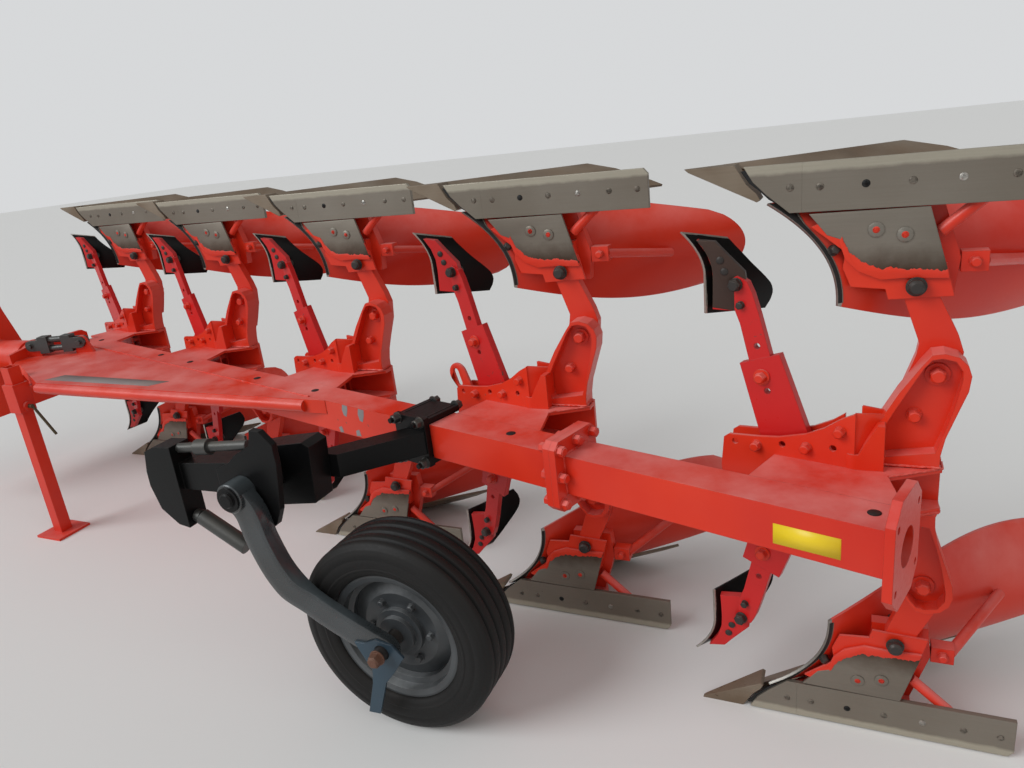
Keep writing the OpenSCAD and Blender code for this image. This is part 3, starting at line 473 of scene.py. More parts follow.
FINISHES = {
    # Red paint; the pale pink film on faces that look up is partly dusty and partly a painted sheen of the
    # sky on the top faces.
    "red": Finish(
        "red_paint", Slot.RED, (0.73, 0.036, 0.009), (0.62, 0.020, 0.006), roughness=0.34, coat=0.12,
        gloss=0.3, bare=(0.16, 0.06, 0.04), dust_and_sheen=(0.88, 0.46, 0.43), dust_and_sheen_amount=0.50, edge_wear=0.55,
        chips=0.25,
    ),
    "crimson": Finish(
        "crimson_paint", Slot.RED, (0.64, 0.014, 0.013), (0.50, 0.010, 0.010), roughness=0.32, coat=0.12,
        gloss=0.3, bare=(0.14, 0.05, 0.04), dust_and_sheen=(0.50, 0.26, 0.24), dust_and_sheen_amount=0.18, chips=0.3,
    ),
    "worn": Finish(
        "worn_steel", Slot.WORN, (0.26, 0.24, 0.205), (0.18, 0.15, 0.12), metal=0.7, roughness=0.44,
        bare=(0.13, 0.09, 0.06), dust_and_sheen=(0.19, 0.14, 0.10), dust_and_sheen_amount=0.4, edge_wear=0.3, chips=0.3,
        grain=0.14, bump=0.10,
    ),
    "scoured": Finish(
        "scoured_steel", Slot.WORN, (0.40, 0.385, 0.355), (0.31, 0.285, 0.25), metal=0.85,
        bare=(0.24, 0.20, 0.155),
    ),
    "bright": Finish(
        "bright_steel", Slot.BRIGHT, (0.62, 0.60, 0.56), (0.46, 0.42, 0.37), metal=0.9, roughness=0.3,
        bare=(0.28, 0.21, 0.15), dust_and_sheen_amount=0.2, chips=0.15, grain=0.15,
    ),
    "dark": Finish(
        "dark_steel", Slot.DARK, (0.050, 0.043, 0.040), (0.028, 0.023, 0.021), metal=0.35, roughness=0.42,
        bare=(0.16, 0.12, 0.09), dust_and_sheen=(0.16, 0.12, 0.09), dust_and_sheen_amount=0.3,
    ),
    "black": Finish(
        "black_paint", Slot.BLACK, (0.0050, 0.0050, 0.0055), (0.0030, 0.0030, 0.0030), roughness=0.36,
        gloss=0.2, bare=(0.05, 0.042, 0.036), dust_and_sheen=(0.065, 0.054, 0.046), dust_and_sheen_amount=0.18, chips=0.2,
    ),
    "rim": Finish(
        "rim_paint", Slot.RIM, (0.045, 0.050, 0.054), (0.020, 0.022, 0.024), roughness=0.40, coat=0.2,
        bare=(0.10, 0.07, 0.05), dust_and_sheen=(0.40, 0.41, 0.41), dust_and_sheen_amount=0.9, tone_scale=6.0,
    ),
    "plate": Finish(
        "plate_steel", Slot.WORN, (0.26, 0.23, 0.19), (0.18, 0.15, 0.12), metal=0.6, roughness=0.46,
        bare=(0.10, 0.065, 0.045), dust_and_sheen=(0.18, 0.13, 0.09), dust_and_sheen_amount=0.4, chips=0.25, grain=0.10,
        stain=(0.07, 0.042, 0.026), stain_from=0.205, stain_to=0.270,
    ),
    "share": Finish(
        "share_steel", Slot.WORN, (0.31, 0.26, 0.20), (0.17, 0.115, 0.072), metal=0.55, roughness=0.5,
        bare=(0.11, 0.065, 0.038), dust_and_sheen=(0.20, 0.13, 0.08), dust_and_sheen_amount=0.7, edge_wear=0.4, chips=0.4,
        grain=0.14, tone_scale=5.0, bump=0.14,
    ),
    "landside": Finish(
        "landside_steel", Slot.WORN, (0.27, 0.24, 0.20), (0.195, 0.165, 0.13), metal=0.65, roughness=0.44,
        bare=(0.13, 0.085, 0.055), dust_and_sheen=(0.20, 0.145, 0.10), dust_and_sheen_amount=0.4, edge_wear=0.3, chips=0.3,
        grain=0.10, stain=(0.44, 0.40, 0.32), stain_from=0.032, stain_to=0.023, stain_wave=0.012,
    ),
    "steel": Finish(
        "grey_steel", Slot.DARK, (0.10, 0.105, 0.105), (0.055, 0.052, 0.048), metal=0.6, roughness=0.38,
        bare=(0.18, 0.11, 0.06), dust_and_sheen=(0.16, 0.13, 0.09), dust_and_sheen_amount=0.5, chips=0.35,
    ),
    # Gloss black paint; its blue-grey tone and the blue-grey film on faces that look up are a painted
    # reflection of the sky.
    "leg": Finish(
        "leg_paint_with_painted_sheen", Slot.BLACK, (0.030, 0.036, 0.040), (0.013, 0.013, 0.013), roughness=0.24, coat=0.6,
        bare=(0.08, 0.05, 0.035), dust_and_sheen=(0.13, 0.16, 0.17), dust_and_sheen_amount=0.6, tone_scale=5.0,
    ),
    "scraper": Finish(
        "scraper_steel", Slot.DARK, (0.045, 0.088, 0.125), (0.026, 0.042, 0.058), metal=0.3, roughness=0.36,
        bare=(0.10, 0.07, 0.05), dust_and_sheen=(0.14, 0.15, 0.15), dust_and_sheen_amount=0.4,
    ),
    "olive": Finish(
        "aged_zinc", Slot.DARK, (0.12, 0.10, 0.05), (0.07, 0.055, 0.03), metal=0.4, roughness=0.5,
        dust_and_sheen=(0.22, 0.17, 0.11),
    ),
    "rust": Finish(
        "rusty_steel", Slot.DARK, (0.19, 0.085, 0.050), (0.12, 0.050, 0.030), metal=0.15, roughness=0.6,
        bare=(0.30, 0.22, 0.17), dust_and_sheen=(0.24, 0.17, 0.11), bump=0.3,
    ),
    "brown": Finish(
        "brown_plate", Slot.DARK, (0.070, 0.034, 0.022), (0.036, 0.018, 0.013), metal=0.2, roughness=0.45,
        bare=(0.18, 0.12, 0.08), dust_and_sheen=(0.16, 0.11, 0.08), dust_and_sheen_amount=0.2, edge_wear=0.9, chips=0.3,
    ),
    # Painted shade: near black for the discs and plates set where holes and gaps show only shade.
    "shade": Finish(
        "painted_shade_black", Slot.DARK, (0.006, 0.006, 0.006), (0.004, 0.004, 0.004), roughness=0.6,
        dust_and_sheen_amount=0.05, edge_wear=0.0, chips=0.0,
    ),
    "label": Finish(
        "worn_label", Slot.DARK, (0.26, 0.25, 0.25), (0.19, 0.15, 0.15), roughness=0.5,
        bare=(0.45, 0.12, 0.09), dust_and_sheen_amount=0.4, chips=0.45,
    ),
    "yellow": Finish(
        "yellow_label", Slot.RED, (0.90, 0.66, 0.012), (0.86, 0.60, 0.012), roughness=0.4, dust_and_sheen_amount=0.1,
        edge_wear=0.0, chips=0.0,
    ),
    "rubber": Finish(
        "tyre_rubber", Slot.RUBBER, (0.0125, 0.0115, 0.011), (0.0075, 0.007, 0.007), roughness=0.55,
        gloss=0.25, bare=(0.04, 0.036, 0.032), dust_and_sheen=(0.060, 0.047, 0.037), dust_and_sheen_amount=0.30, edge_wear=0.0,
        chips=0.0, bump=0.2, bump_scale=140.0,
    ),
}
FINISHES["board"] = replace(FINISHES["red"], name="board_paint", under=FINISHES["scoured"])
FINISHES["skimmer"] = replace(FINISHES["black"], name="skimmer_paint", under=FINISHES["bright"])


@dataclass
class Draft:
    """A mesh under way: points in metres, and faces by the numbers of their points."""

    points: list[Vector] = field(default_factory=list)
    faces: list[tuple[int, ...]] = field(default_factory=list)

    def add(self, points: Iterable[Vector], faces: Iterable[Sequence[int]]) -> None:
        """Adds points and the faces between them."""
        start = len(self.points)
        self.points.extend(points)
        self.faces.extend(tuple(start + k for k in face) for face in faces)

    def plate(self, outline: Sequence[Pair], low: float, high: float,
              at: Callable[[float, float, float], Vector]) -> None:
        """Adds a plate from its outline.

        Args:
            outline: Corners in order, as the first two values that at takes.
            low: One face's place across the plate.
            high: The other face's place.
            at: Gives the place of (first, across, second).
        """
        n = len(outline)
        rings = [at(a, across, b) for across in (low, high) for a, b in outline]
        sides = [(k, (k + 1) % n, n + (k + 1) % n, n + k) for k in range(n)]
        self.add(rings, [tuple(range(n)), tuple(range(n, 2 * n)), *sides])

    def shell(self, front: Sequence[Sequence[Vector]], back: Sequence[Sequence[Vector]]) -> None:
        """Adds a closed sheet between two grids of points with the same rows and columns."""
        rows, cols = len(front), len(front[0])
        size = rows * cols
        faces: list[tuple[int, ...]] = []
        for r in range(rows - 1):
            for c in range(cols - 1):
                a = r * cols + c
                quad = (a, a + 1, a + cols + 1, a + cols)
                faces += [quad, tuple(size + k for k in reversed(quad))]
        rim = list(range(cols)) + [r * cols + cols - 1 for r in range(1, rows)]
        rim += [size - 1 - c for c in range(1, cols)] + [r * cols for r in range(rows - 2, 0, -1)]
        for k, a in enumerate(rim):
            b = rim[(k + 1) % len(rim)]
            faces.append((a, b, size + b, size + a))
        self.add([p for row in front for p in row] + [p for row in back for p in row], faces)

    def turned(self, profile: Sequence[Pair], centre: Vector, steps: int) -> None:
        """Adds a closed ring turned about the Y axis.

        Args:
            profile: Closed section as (radius, place along the axis), in metres.
            centre: Middle of the ring.
            steps: Divisions around.
        """
        n = len(profile)
        points = []
        for s in range(steps):
            a = math.tau * s / steps
            points += [centre + Vector((r * math.cos(a), along, r * math.sin(a))) for r, along in profile]
        faces = []
        for s in range(steps):
            for k in range(n):
                here, there = s * n, (s + 1) % steps * n
                faces.append((here + k, here + (k + 1) % n, there + (k + 1) % n, there + k))
        self.add(points, faces)


def settle(piece: bpy.types.Object, body: Body, slot: Slot) -> None:
    """Makes a finished piece ride on its body."""
    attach(piece, body.value)
    LOG.info("%s rides on %s", piece.name, body.value)


def build(name: str, draft: Draft, material: bpy.types.Material, bevel: float = 0.0,
          angle: float = SMOOTH_ANGLE) -> bpy.types.Object:
    """Turns a draft into an object.

    Args:
        name: The piece's name.
        draft: Its points and faces.
        material: Its finish.
        bevel: Width of the rounding on sharp edges, in metres.
        angle: Least angle of an edge that stays sharp, in degrees.

    Returns:
        The object, with its place in its mesh.
    """
    work = bmesh.new()
    corners = [work.verts.new(p) for p in draft.points]
    for face in draft.faces:
        work.faces.new([corners[k] for k in face])
    bmesh.ops.remove_doubles(work, verts=work.verts, dist=SAME_SPOT)
    bmesh.ops.recalc_face_normals(work, faces=work.faces)
    if bevel:
        least = math.radians(angle)
        sharp = [e for e in work.edges if len(e.link_faces) == 2 and e.calc_face_angle() > least]
        bmesh.ops.bevel(work, geom=sharp, offset=bevel, segments=2, affect="EDGES", profile=0.5,
                        clamp_overlap=True)
    mesh = bpy.data.meshes.new(name)
    work.to_mesh(mesh)
    work.free()
    mesh.shade_smooth()
    mesh.set_sharp_from_angle(angle=math.radians(angle))
    mesh.materials.append(material)
    piece = bpy.data.objects.new(name, mesh)
    bpy.context.scene.collection.objects.link(piece)
    return piece


@dataclass(frozen=True)
class Fixing:
    """One bolt head, nut, cap or disc of painted hole shade: where it sits, which way it looks and how wide
    it is in metres.
    """

    where: Vector
    axis: Vector
    width: float


@dataclass(frozen=True)
class Style:
    """The form of a fixing, in shares of its width; a washer of 0 stays hidden within the head."""

    sides: int = 6
    height: float = 0.62
    dome: float = 0.10
    washer: float = 0.0
    washer_height: float = 0.10
    top: float = 0.40


FLUSH = Style(sides=24, height=0.02, dome=0.03, top=0.40, washer_height=0.01)


class Growths:
    """The Geometry Nodes trees: bolt heads on points, and beads along lines."""

    def __init__(self) -> None:
        """Builds both trees once."""
        self.bolts = self._bolts()
        self.beads = self._beads()

    @staticmethod
    def _start(name: str, floats: dict[str, float], ints: dict[str, int]) -> tuple[Graph, dict, dict]:
        """Starts a tree with a geometry and a material beside its named sizes."""
        tree = bpy.data.node_groups.new(name, "GeometryNodeTree")
        tree.interface.new_socket("Geometry", in_out="INPUT", socket_type="NodeSocketGeometry")
        for kind, values in (("NodeSocketFloat", floats), ("NodeSocketInt", ints)):
            for key, value in values.items():
                tree.interface.new_socket(key, in_out="INPUT", socket_type=kind).default_value = value
        tree.interface.new_socket("Material", in_out="INPUT", socket_type="NodeSocketMaterial")
        tree.interface.new_socket("Geometry", in_out="OUTPUT", socket_type="NodeSocketGeometry")
        graph = Graph(tree)
        return graph, graph.node("NodeGroupInput").outputs, graph.node("NodeGroupOutput").inputs

    def _bolts(self) -> bpy.types.NodeTree:
        """Heads with a chamfered top and a washer, one on each point, turned at random."""
        sizes = {"Height": 0.62, "Dome": 0.1, "Top": 0.4, "Washer": 0.75, "Washer Height": 0.1}
        graph, given, out = self._start("bolt_heads", sizes, {"Sides": 6, "Seed": 1})
        link = graph.tree.links.new
        height, washer_height = given["Height"], given["Washer Height"]

        def raised(form: bpy.types.Node, z: bpy.types.NodeSocket) -> bpy.types.NodeSocket:
            at = graph.node("ShaderNodeCombineXYZ", {2: z}).outputs[0]
            moved = graph.node("GeometryNodeTransform", {"Geometry": form.outputs[0], "Translation": at})
            return moved.outputs[0]

        corner = graph.math("COSINE", graph.math("DIVIDE", math.pi, given["Sides"]))
        head = graph.node("GeometryNodeMeshCylinder", {
            "Vertices": given["Sides"], "Radius": graph.math("DIVIDE", 0.5, corner), "Depth": height})
        cap = graph.node("GeometryNodeMeshCone", {
            "Vertices": 24, "Radius Top": given["Top"], "Radius Bottom": 0.49, "Depth": given["Dome"]})
        washer = graph.node("GeometryNodeMeshCylinder", {
            "Vertices": 28, "Radius": given["Washer"], "Depth": washer_height})
        bolt = graph.node("GeometryNodeJoinGeometry")
        for form, z in (
            (head, graph.math("ADD", graph.math("MULTIPLY", height, 0.5), washer_height)),
            (cap, graph.math("ADD", height, washer_height)),
            (washer, graph.math("MULTIPLY", washer_height, 0.5)),
        ):
            link(raised(form, z), bolt.inputs[0])
        axis = graph.node("GeometryNodeInputNamedAttribute", {"Name": "axis"}, data_type="FLOAT_VECTOR")
        width = graph.node("GeometryNodeInputNamedAttribute", {"Name": "width"}, data_type="FLOAT")
        aim = graph.node("FunctionNodeAlignRotationToVector", {"Vector": axis.outputs[0]}, axis="Z")
        spin = graph.node("FunctionNodeRandomValue", {2: 0.0, 3: math.tau, "Seed": given["Seed"]})
        about = graph.node("FunctionNodeAxisAngleToRotation", {0: (0.0, 0.0, 1.0), 1: spin.outputs[1]})
        turned = graph.node("FunctionNodeRotateRotation", {0: aim.outputs[0], 1: about.outputs[0]},
                            rotation_space="LOCAL")
        placed = graph.node("GeometryNodeInstanceOnPoints", {
            "Points": given["Geometry"], "Instance": bolt.outputs[0], "Rotation": turned.outputs[0],
            "Scale": width.outputs[0]})
        self._end(graph, placed.outputs[0], given, out)
        return graph.tree

    def _beads(self) -> bpy.types.NodeTree:
        """A weld bead along each line, with the ripples of its passes."""
        sizes = {"Radius": 0.004, "Step": 0.004, "Ripple": 0.0014}
        graph, given, out = self._start("weld_beads", sizes, {"Seed": 1})
        line = graph.node("GeometryNodeMeshToCurve", {0: given["Geometry"]})
        even = graph.node("GeometryNodeResampleCurve", {"Curve": line.outputs[0], "Length": given["Step"]},
                          mode="LENGTH")
        ring = graph.node("GeometryNodeCurvePrimitiveCircle", {"Resolution": 6, "Radius": given["Radius"]})
        tube = graph.node("GeometryNodeCurveToMesh", {
            "Curve": even.outputs[0], "Profile Curve": ring.outputs[0], "Fill Caps": True})
        limits = {0: (-1.0, -1.0, -1.0), 1: (1.0, 1.0, 1.0), "Seed": given["Seed"]}
        shift = graph.node("FunctionNodeRandomValue", limits, data_type="FLOAT_VECTOR")
        much = graph.node("ShaderNodeVectorMath", {0: shift.outputs[0], "Scale": given["Ripple"]},
                          operation="SCALE")
        rippled = graph.node("GeometryNodeSetPosition", {
            "Geometry": tube.outputs[0], "Offset": much.outputs[0]})
        smooth = graph.node("GeometryNodeSetShadeSmooth", {0: rippled.outputs[0], 2: True})
        self._end(graph, smooth.outputs[0], given, out)
        return graph.tree

    @staticmethod
    def _end(graph: Graph, result: bpy.types.NodeSocket, given: dict, out: dict) -> None:
        """Realizes the instances and gives them the material."""
        real = graph.node("GeometryNodeRealizeInstances", {0: result})
        dressed = graph.node("GeometryNodeSetMaterial", {0: real.outputs[0], "Material": given["Material"]})
        graph.tree.links.new(dressed.outputs[0], out[0])

    @staticmethod
    def grow(name: str, seed_mesh: bpy.types.Mesh, tree: bpy.types.NodeTree,
             values: dict[str, object]) -> bpy.types.Object:
        """Runs a tree on a mesh and keeps the result as a plain object.

        Args:
            name: The new object's name.
            seed_mesh: Its points or lines.
            tree: The Geometry Nodes tree.
            values: The tree's inputs by their names.

        Returns:
            The new object.
        """
        holder = bpy.data.objects.new(name + "_seed", seed_mesh)
        bpy.context.scene.collection.objects.link(holder)
        modifier = holder.modifiers.new("grow", "NODES")
        modifier.node_group = tree
        for item in tree.interface.items_tree:
            if item.item_type == "SOCKET" and item.in_out == "INPUT" and item.name in values:
                modifier[item.identifier] = values[item.name]
        depsgraph = bpy.context.evaluated_depsgraph_get()
        mesh = bpy.data.meshes.new_from_object(holder.evaluated_get(depsgraph), depsgraph=depsgraph)
        holder.modifiers.remove(modifier)
        bpy.data.objects.remove(holder)
        mesh.name = name
        mesh.set_sharp_from_angle(angle=math.radians(SMOOTH_ANGLE))
        piece = bpy.data.objects.new(name, mesh)
        bpy.context.scene.collection.objects.link(piece)
        return piece


@dataclass
class Shop:
    """What every sub-assembly needs: the trees and the finishes."""

    growths: Growths
    finishes: dict[str, bpy.types.Material]

    def bolts(self, name: str, fixings: Sequence[Fixing], style: Style, finish: str,
              body: Body) -> bpy.types.Object:
        """Makes one piece of all the like bolt heads, nuts, caps or discs of painted hole shade on one body.

        Args:
            name: The piece's name.
            fixings: Where they sit.
            style: Their form.
            finish: Name of the finish.
            body: What they ride on.

        Returns:
            The finished piece.
        """
        mesh = bpy.data.meshes.new(name + "_points")
        mesh.from_pydata([f.where for f in fixings], [], [])
        axis = mesh.attributes.new("axis", "FLOAT_VECTOR", "POINT")
        axis.data.foreach_set("vector", [value for f in fixings for value in f.axis])
        width = mesh.attributes.new("width", "FLOAT", "POINT")
        width.data.foreach_set("value", [f.width for f in fixings])
        values = {"Height": style.height, "Dome": style.dome, "Top": style.top, "Sides": style.sides,
                  "Washer": max(style.washer, WITHIN_HEAD), "Washer Height": style.washer_height,
                  "Material": self.finishes[finish], "Seed": len(name)}
        piece = self.growths.grow(name, mesh, self.growths.bolts, values)
        settle(piece, body, FINISHES[finish].slot)
        return piece

    def beads(self, name: str, lines: Sequence[Sequence[Vector]], radius: float, finish: str,
              body: Body) -> bpy.types.Object:
        """Makes one piece of all the weld beads on one body, each along its own line."""
        points: list[Vector] = []
        edges: list[tuple[int, int]] = []
        for line in lines:
            start = len(points)
            points += line
            edges += [(start + k, start + k + 1) for k in range(len(line) - 1)]
        mesh = bpy.data.meshes.new(name + "_lines")
        mesh.from_pydata(points, edges, [])
        values = {"Radius": radius, "Step": radius * 1.3, "Ripple": radius * 0.3,
                  "Material": self.finishes[finish], "Seed": len(name)}
        piece = self.growths.grow(name, mesh, self.growths.beads, values)
        settle(piece, body, FINISHES[finish].slot)
        return piece

    def piece(self, name: str, draft: Draft, finish: str, body: Body, bevel: float = 0.0,
              angle: float = SMOOTH_ANGLE) -> bpy.types.Object:
        """Builds a draft, dresses it and makes it ride on its body."""
        made = build(name, draft, self.finishes[finish], bevel, angle)
        settle(made, body, FINISHES[finish].slot)
        return made


@dataclass(frozen=True)
class Curve:
    """A curved board: level lines that start on the shin's curve and turn with their height.

    Args:
        tip: Place of the shin's foot along the travel.
        plumb: Place where the shin stands upright.
        height: Height from which it stands upright.
        power: How fast the shin bends.
        least: Least angle of a level line, in degrees.
        turn: Degrees that the line's angle adds at the ground.
        turn_height: Height of the line with the least angle.
    """

    tip: float
    plumb: float
    height: float
    power: float
    least: float
    turn: float
    turn_height: float

    def shin(self, h: float) -> float:
        """Place of the shin's curve along the travel at a height."""
        return self.plumb + (self.tip - self.plumb) * max(0.0, 1 - h / self.height) ** self.power

    def angle(self, h: float) -> float:
        """Angle of the level line at a height, in radians."""
        return math.radians(self.least + self.turn * ((h - self.turn_height) / self.turn_height) ** 2)

    def spot(self, t: float, h: float, sink: float) -> tuple[float, float, float]:
        """A place on the board.

        Args:
            t: Length along the level line.
            h: Height above the ground line.
            sink: Depth behind the worked face.

        Returns:
            Place along the travel, to the left, and the height.
        """
        a = self.angle(h)
        fall = (self.tip - self.plumb) * self.power / self.height
        k = fall * max(0.0, 1 - h / self.height) ** (self.power - 1) * math.sin(a)
        n = Vector((math.sin(a), -math.cos(a), k)) / math.hypot(1, k)
        p = Vector((self.shin(h) - t * math.cos(a), -t * math.sin(a), h)) - sink * n
        return p.x, p.y, p.z

    def behind(self, h: float, y: float, sink: float) -> float:
        """Where a plane along the travel meets the surface a given depth behind the board."""
        up = 2 * h - self.spot(0, h, sink)[2]
        x, y_up, _ = self.spot(0, up, sink)
        return x + (y - y_up) / math.tan(self.angle(up))


def add_sheet(draft: Draft, rows: int, columns: int, thickness: float,
              spot: Callable[[float, float, float], Vector]) -> None:
    """Adds a curved board to a draft.

    Args:
        draft: The mesh under way.
        rows: Divisions up the board.
        columns: Divisions along it.
        thickness: Depth of its back behind the worked face.
        spot: Gives the place of (share of the height, share of the length, depth).
    """
    draft.shell(*[
        [[spot(r / rows, c / columns, sink) for c in range(columns + 1)] for r in range(rows + 1)]
        for sink in (0.0, thickness)
    ])


def sheet_wear(rows: int, columns: int, face: Callable[[float, float], float],
               bare_foot: bool) -> list[float]:
    """Lists the wear at each point of a curved board, in the order of add_sheet.

    Args:
        rows: Divisions up the board.
        columns: Divisions along it.
        face: Gives the worked face's wear at (share of the height, share of the length).
        bare_foot: Whether the lower edge is bare on the back too.

    Returns:
        The wear from 0 to 1, full along the shin and the lower edge.
    """
    wear = []
    for back in (False, True):
        for r in range(rows + 1):
            for c in range(columns + 1):
                edge = 1.0 if c == 0 or (r == 0 and (bare_foot or not back)) else 0.0
                wear.append(edge if back else max(edge, face(r / rows, c / columns)))
    return wear


def spread_wear(piece: bpy.types.Object, wear: Sequence[float]) -> None:
    """Keeps the wear at each point of a piece, in the order in which its points were made."""
    layer = piece.data.attributes.new("wear", "FLOAT", "POINT")
    layer.data.foreach_set("value", list(wear))


@dataclass
class Mouldboards:
    """The mouldboards: smooth curved plates that turn the furrow over.

    Args:
        rise_from: Length along the board where its lower edge starts to rise.
        rise: How far the lower edge rises to the board's end.
        crest: Height of the upper edge's arch.
        crest_turn: Degrees of a sine that the arch takes.
        start: Where the plate starts behind the shin's curve, in thicknesses.
        band_at: Start and width of the black band of painted shade behind the shin.
        line_at: The bright line's two edges, in shares of the band's width.
        shin_bolt: Length along the board and height of the bolt behind the shin.
        bolt_spots: The same for each flush bolt in the worked face.
        scoured: Shares of the height and the length up to which the face is scoured.
        flare_at: Height below which the black band gets wider, and the height of one unit of that.
        flare_more: How many widths it adds in the first unit.
    """

    curve: Curve = Curve(283, -70, 350, 2.3, 35, 5.2, 200)
    length: float = 860.0
    thickness: float = 8.0
    share_height: float = 100.0
    seat: float = 0.3
    wing_round: float = 90.0
    rise_from: float = 400.0
    rise: float = 118.0
    crest: float = 124.0
    crest_turn: float = 130.0
    start: float = 1.6
    columns: int = 44
    rows: int = 22
    bolt_width: float = 0.026
    bolt_sunk: float = 0.0006
    band_at: Pair = (13.2, 11.0)
    band_steps: int = 14
    line_at: Pair = (0.98, 1.22)
    shin_bolt: Pair = (37.0, 222.0)
    bolt_spots: tuple[Pair, ...] = (
        (60, 150), (150, 150), (75, 215), (165, 215), (80, 290), (185, 300), (420, 260)
    )
    scoured: Pair = (0.72, 0.86)
    flare_at: Pair = (165.0, 60.0)
    flare_more: float = 3.5

    def low(self, t: float) -> float:
        """Height of the board's lower edge."""
        share = max(0.0, (t - self.rise_from) / (self.length - self.rise_from))
        return self.share_height + 2 * self.seat + self.rise * share ** 1.1

    def high(self, t: float) -> float:
        """Height of the board's upper edge."""
        return self.curve.height + self.crest * math.sin(math.radians(self.crest_turn * t / self.length))

    def grid_spot(self, v: float, s: float) -> Pair:
        """Length along the level line and height, from shares up and along the board."""
        start = self.thickness * self.start
        full = self.length - start - self.wing_round * (1 - math.sqrt(max(0.0, 1 - (2 * v - 1) ** 2)))
        t = start + s * full
        return t, self.low(t) + v * (self.high(t) - self.low(t))

    def wear(self, v: float, s: float) -> float:
        """How far the soil has scoured the worked face here, from 0 to 1."""
        up, along = self.scoured
        top = max(0.0, v - up - 0.1 * s) / (1 - up)
        wing = max(0.0, s - along) / (1 - along)
        return max(0.0, 1 - 1.1 * top - 1.3 * wing)

    def spot(self, place: Place, v: float, s: float, sink: float) -> Vector:
        """A place on a furrow's board, or behind it, from shares up and along it."""
        return place.at_height(*self.curve.spot(*self.grid_spot(v, s), sink))

    def build(self, shop: Shop) -> None:
        """Makes each furrow's pair of boards, with the flush bolts in their worked faces."""
        wear = sheet_wear(self.rows, self.columns, self.wear, bare_foot=False) * len(Side)
        for i in range(LAYOUT.furrows):
            draft = Draft()
            for side in Side:
                add_sheet(draft, self.rows, self.columns, self.thickness, partial(self.spot, Place(i, side)))
            board = shop.piece(f"board_pair_{i + 1}", draft, "board", Body.FRAME, angle=50)
            spread_wear(board, wear)
            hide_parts(f"mouldboards_{i + 1}")
        self.flush_bolts(shop)
        self.shin_shade_bands(shop)

    def shin_shade_bands(self, shop: Shop) -> None:
        """Behind each shin: a black band of painted shade, a bright line beside it, and its bolt."""
        black, line, bolts = Draft(), Draft(), []
        floor, top = self.share_height + 3, self.curve.height - 3
        rows = [floor + k * (top - floor) / self.band_steps for k in range(self.band_steps + 1)]
        start, width = self.band_at
        for place in PLACES:
            def grid(proud: float) -> list[list[Vector]]:
                return [[place.at_height(*self.curve.spot(
                    start + width * self.flare(h) * c / 3, h, self.thickness + proud))
                    for c in range(4)] for h in rows]

            black.shell(grid(0.2), grid(1.0))
            line.shell(*[[[a.lerp(b, share) for share in self.line_at] for a, *_, b in grid(proud)]
                         for proud in (0.1, 1.4)])
            back = place.at_height(*self.curve.spot(*self.shin_bolt, self.thickness + 0.2))
            out = (back - place.at_height(*self.curve.spot(*self.shin_bolt, 0))).normalized()
            bolts.append(Fixing(back, out, 0.021))
        # The black band is painted shade, where the gap between the board's back and the frog lies in
        # shadow.
        shop.piece("shin_shade_bands", black, "shade", Body.FRAME, angle=50)
        shop.piece("shin_lines", line, "worn", Body.FRAME, angle=50)
        shop.bolts("shin_bolts", bolts, Style(washer=0.66), "dark", Body.FRAME)

    def flare(self, h: float) -> float:
        """How many widths the black band has at a height, because it grows towards the share."""
        below, unit = self.flare_at
        return 1 + self.flare_more * max(0.0, (below - h) / unit) ** 1.5

    def flush_bolts(self, shop: Shop) -> None:
        """Countersunk bolts in the worked faces, above the share and beside the frog."""
        fixings = []
        for place in PLACES:
            for t, h in self.bolt_spots:
                face = place.at_height(*self.curve.spot(t, h, 0))
                deep = place.at_height(*self.curve.spot(t, h, 5))
                out = (face - deep).normalized()
                fixings.append(Fixing(face - out * self.bolt_sunk, out, self.bolt_width))
        style = replace(FLUSH, height=0.05, top=0.44)
        shop.bolts("board_bolts", fixings, style, "worn", Body.FRAME)


@dataclass
class Shares:
    """The shares, with the blunt end of each point drawn in to a slim tip beside the landside.

    Args:
        ends: The blunt end's corners, along the travel and in height, and where each one goes.
        near: Place of the point's landside face.
        far: Place of its other face.
        tip_w: Width that is left at the tip.
        match: How near a point has to lie to a corner to be it, in metres.
    """

    ends: tuple[tuple[Pair, Pair], ...] = (((302.0, 0.0), (278.0, 0.0)), ((292.0, 16.0), (268.0, 9.0)))
    near: float = -4.0
    far: float = -74.0
    tip_w: float = 14.0
    match: float = 0.0006

    def build(self, shop: Shop) -> None:
        """Builds all the shares from their node's faces, with the tips' corners moved."""
        moves = []
        for place in PLACES:
            for (x, h), (new_x, new_h) in self.ends:
                for y, new_y in ((self.near, self.near), (self.far, self.near - self.tip_w)):
                    moves.append((place.at_height(x, y, h), place.at_height(new_x, new_y, new_h)))
        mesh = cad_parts["shares"].data
        draft = Draft()
        for vertex in mesh.vertices:
            spot = vertex.co.copy()
            moved = (new for old, new in moves if (old - spot).length < self.match)
            draft.points.append(next(moved, spot))
        draft.faces = [tuple(face.vertices) for face in mesh.polygons]
        shares = shop.piece("share_set", draft, "share", Body.FRAME)
        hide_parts("shares")


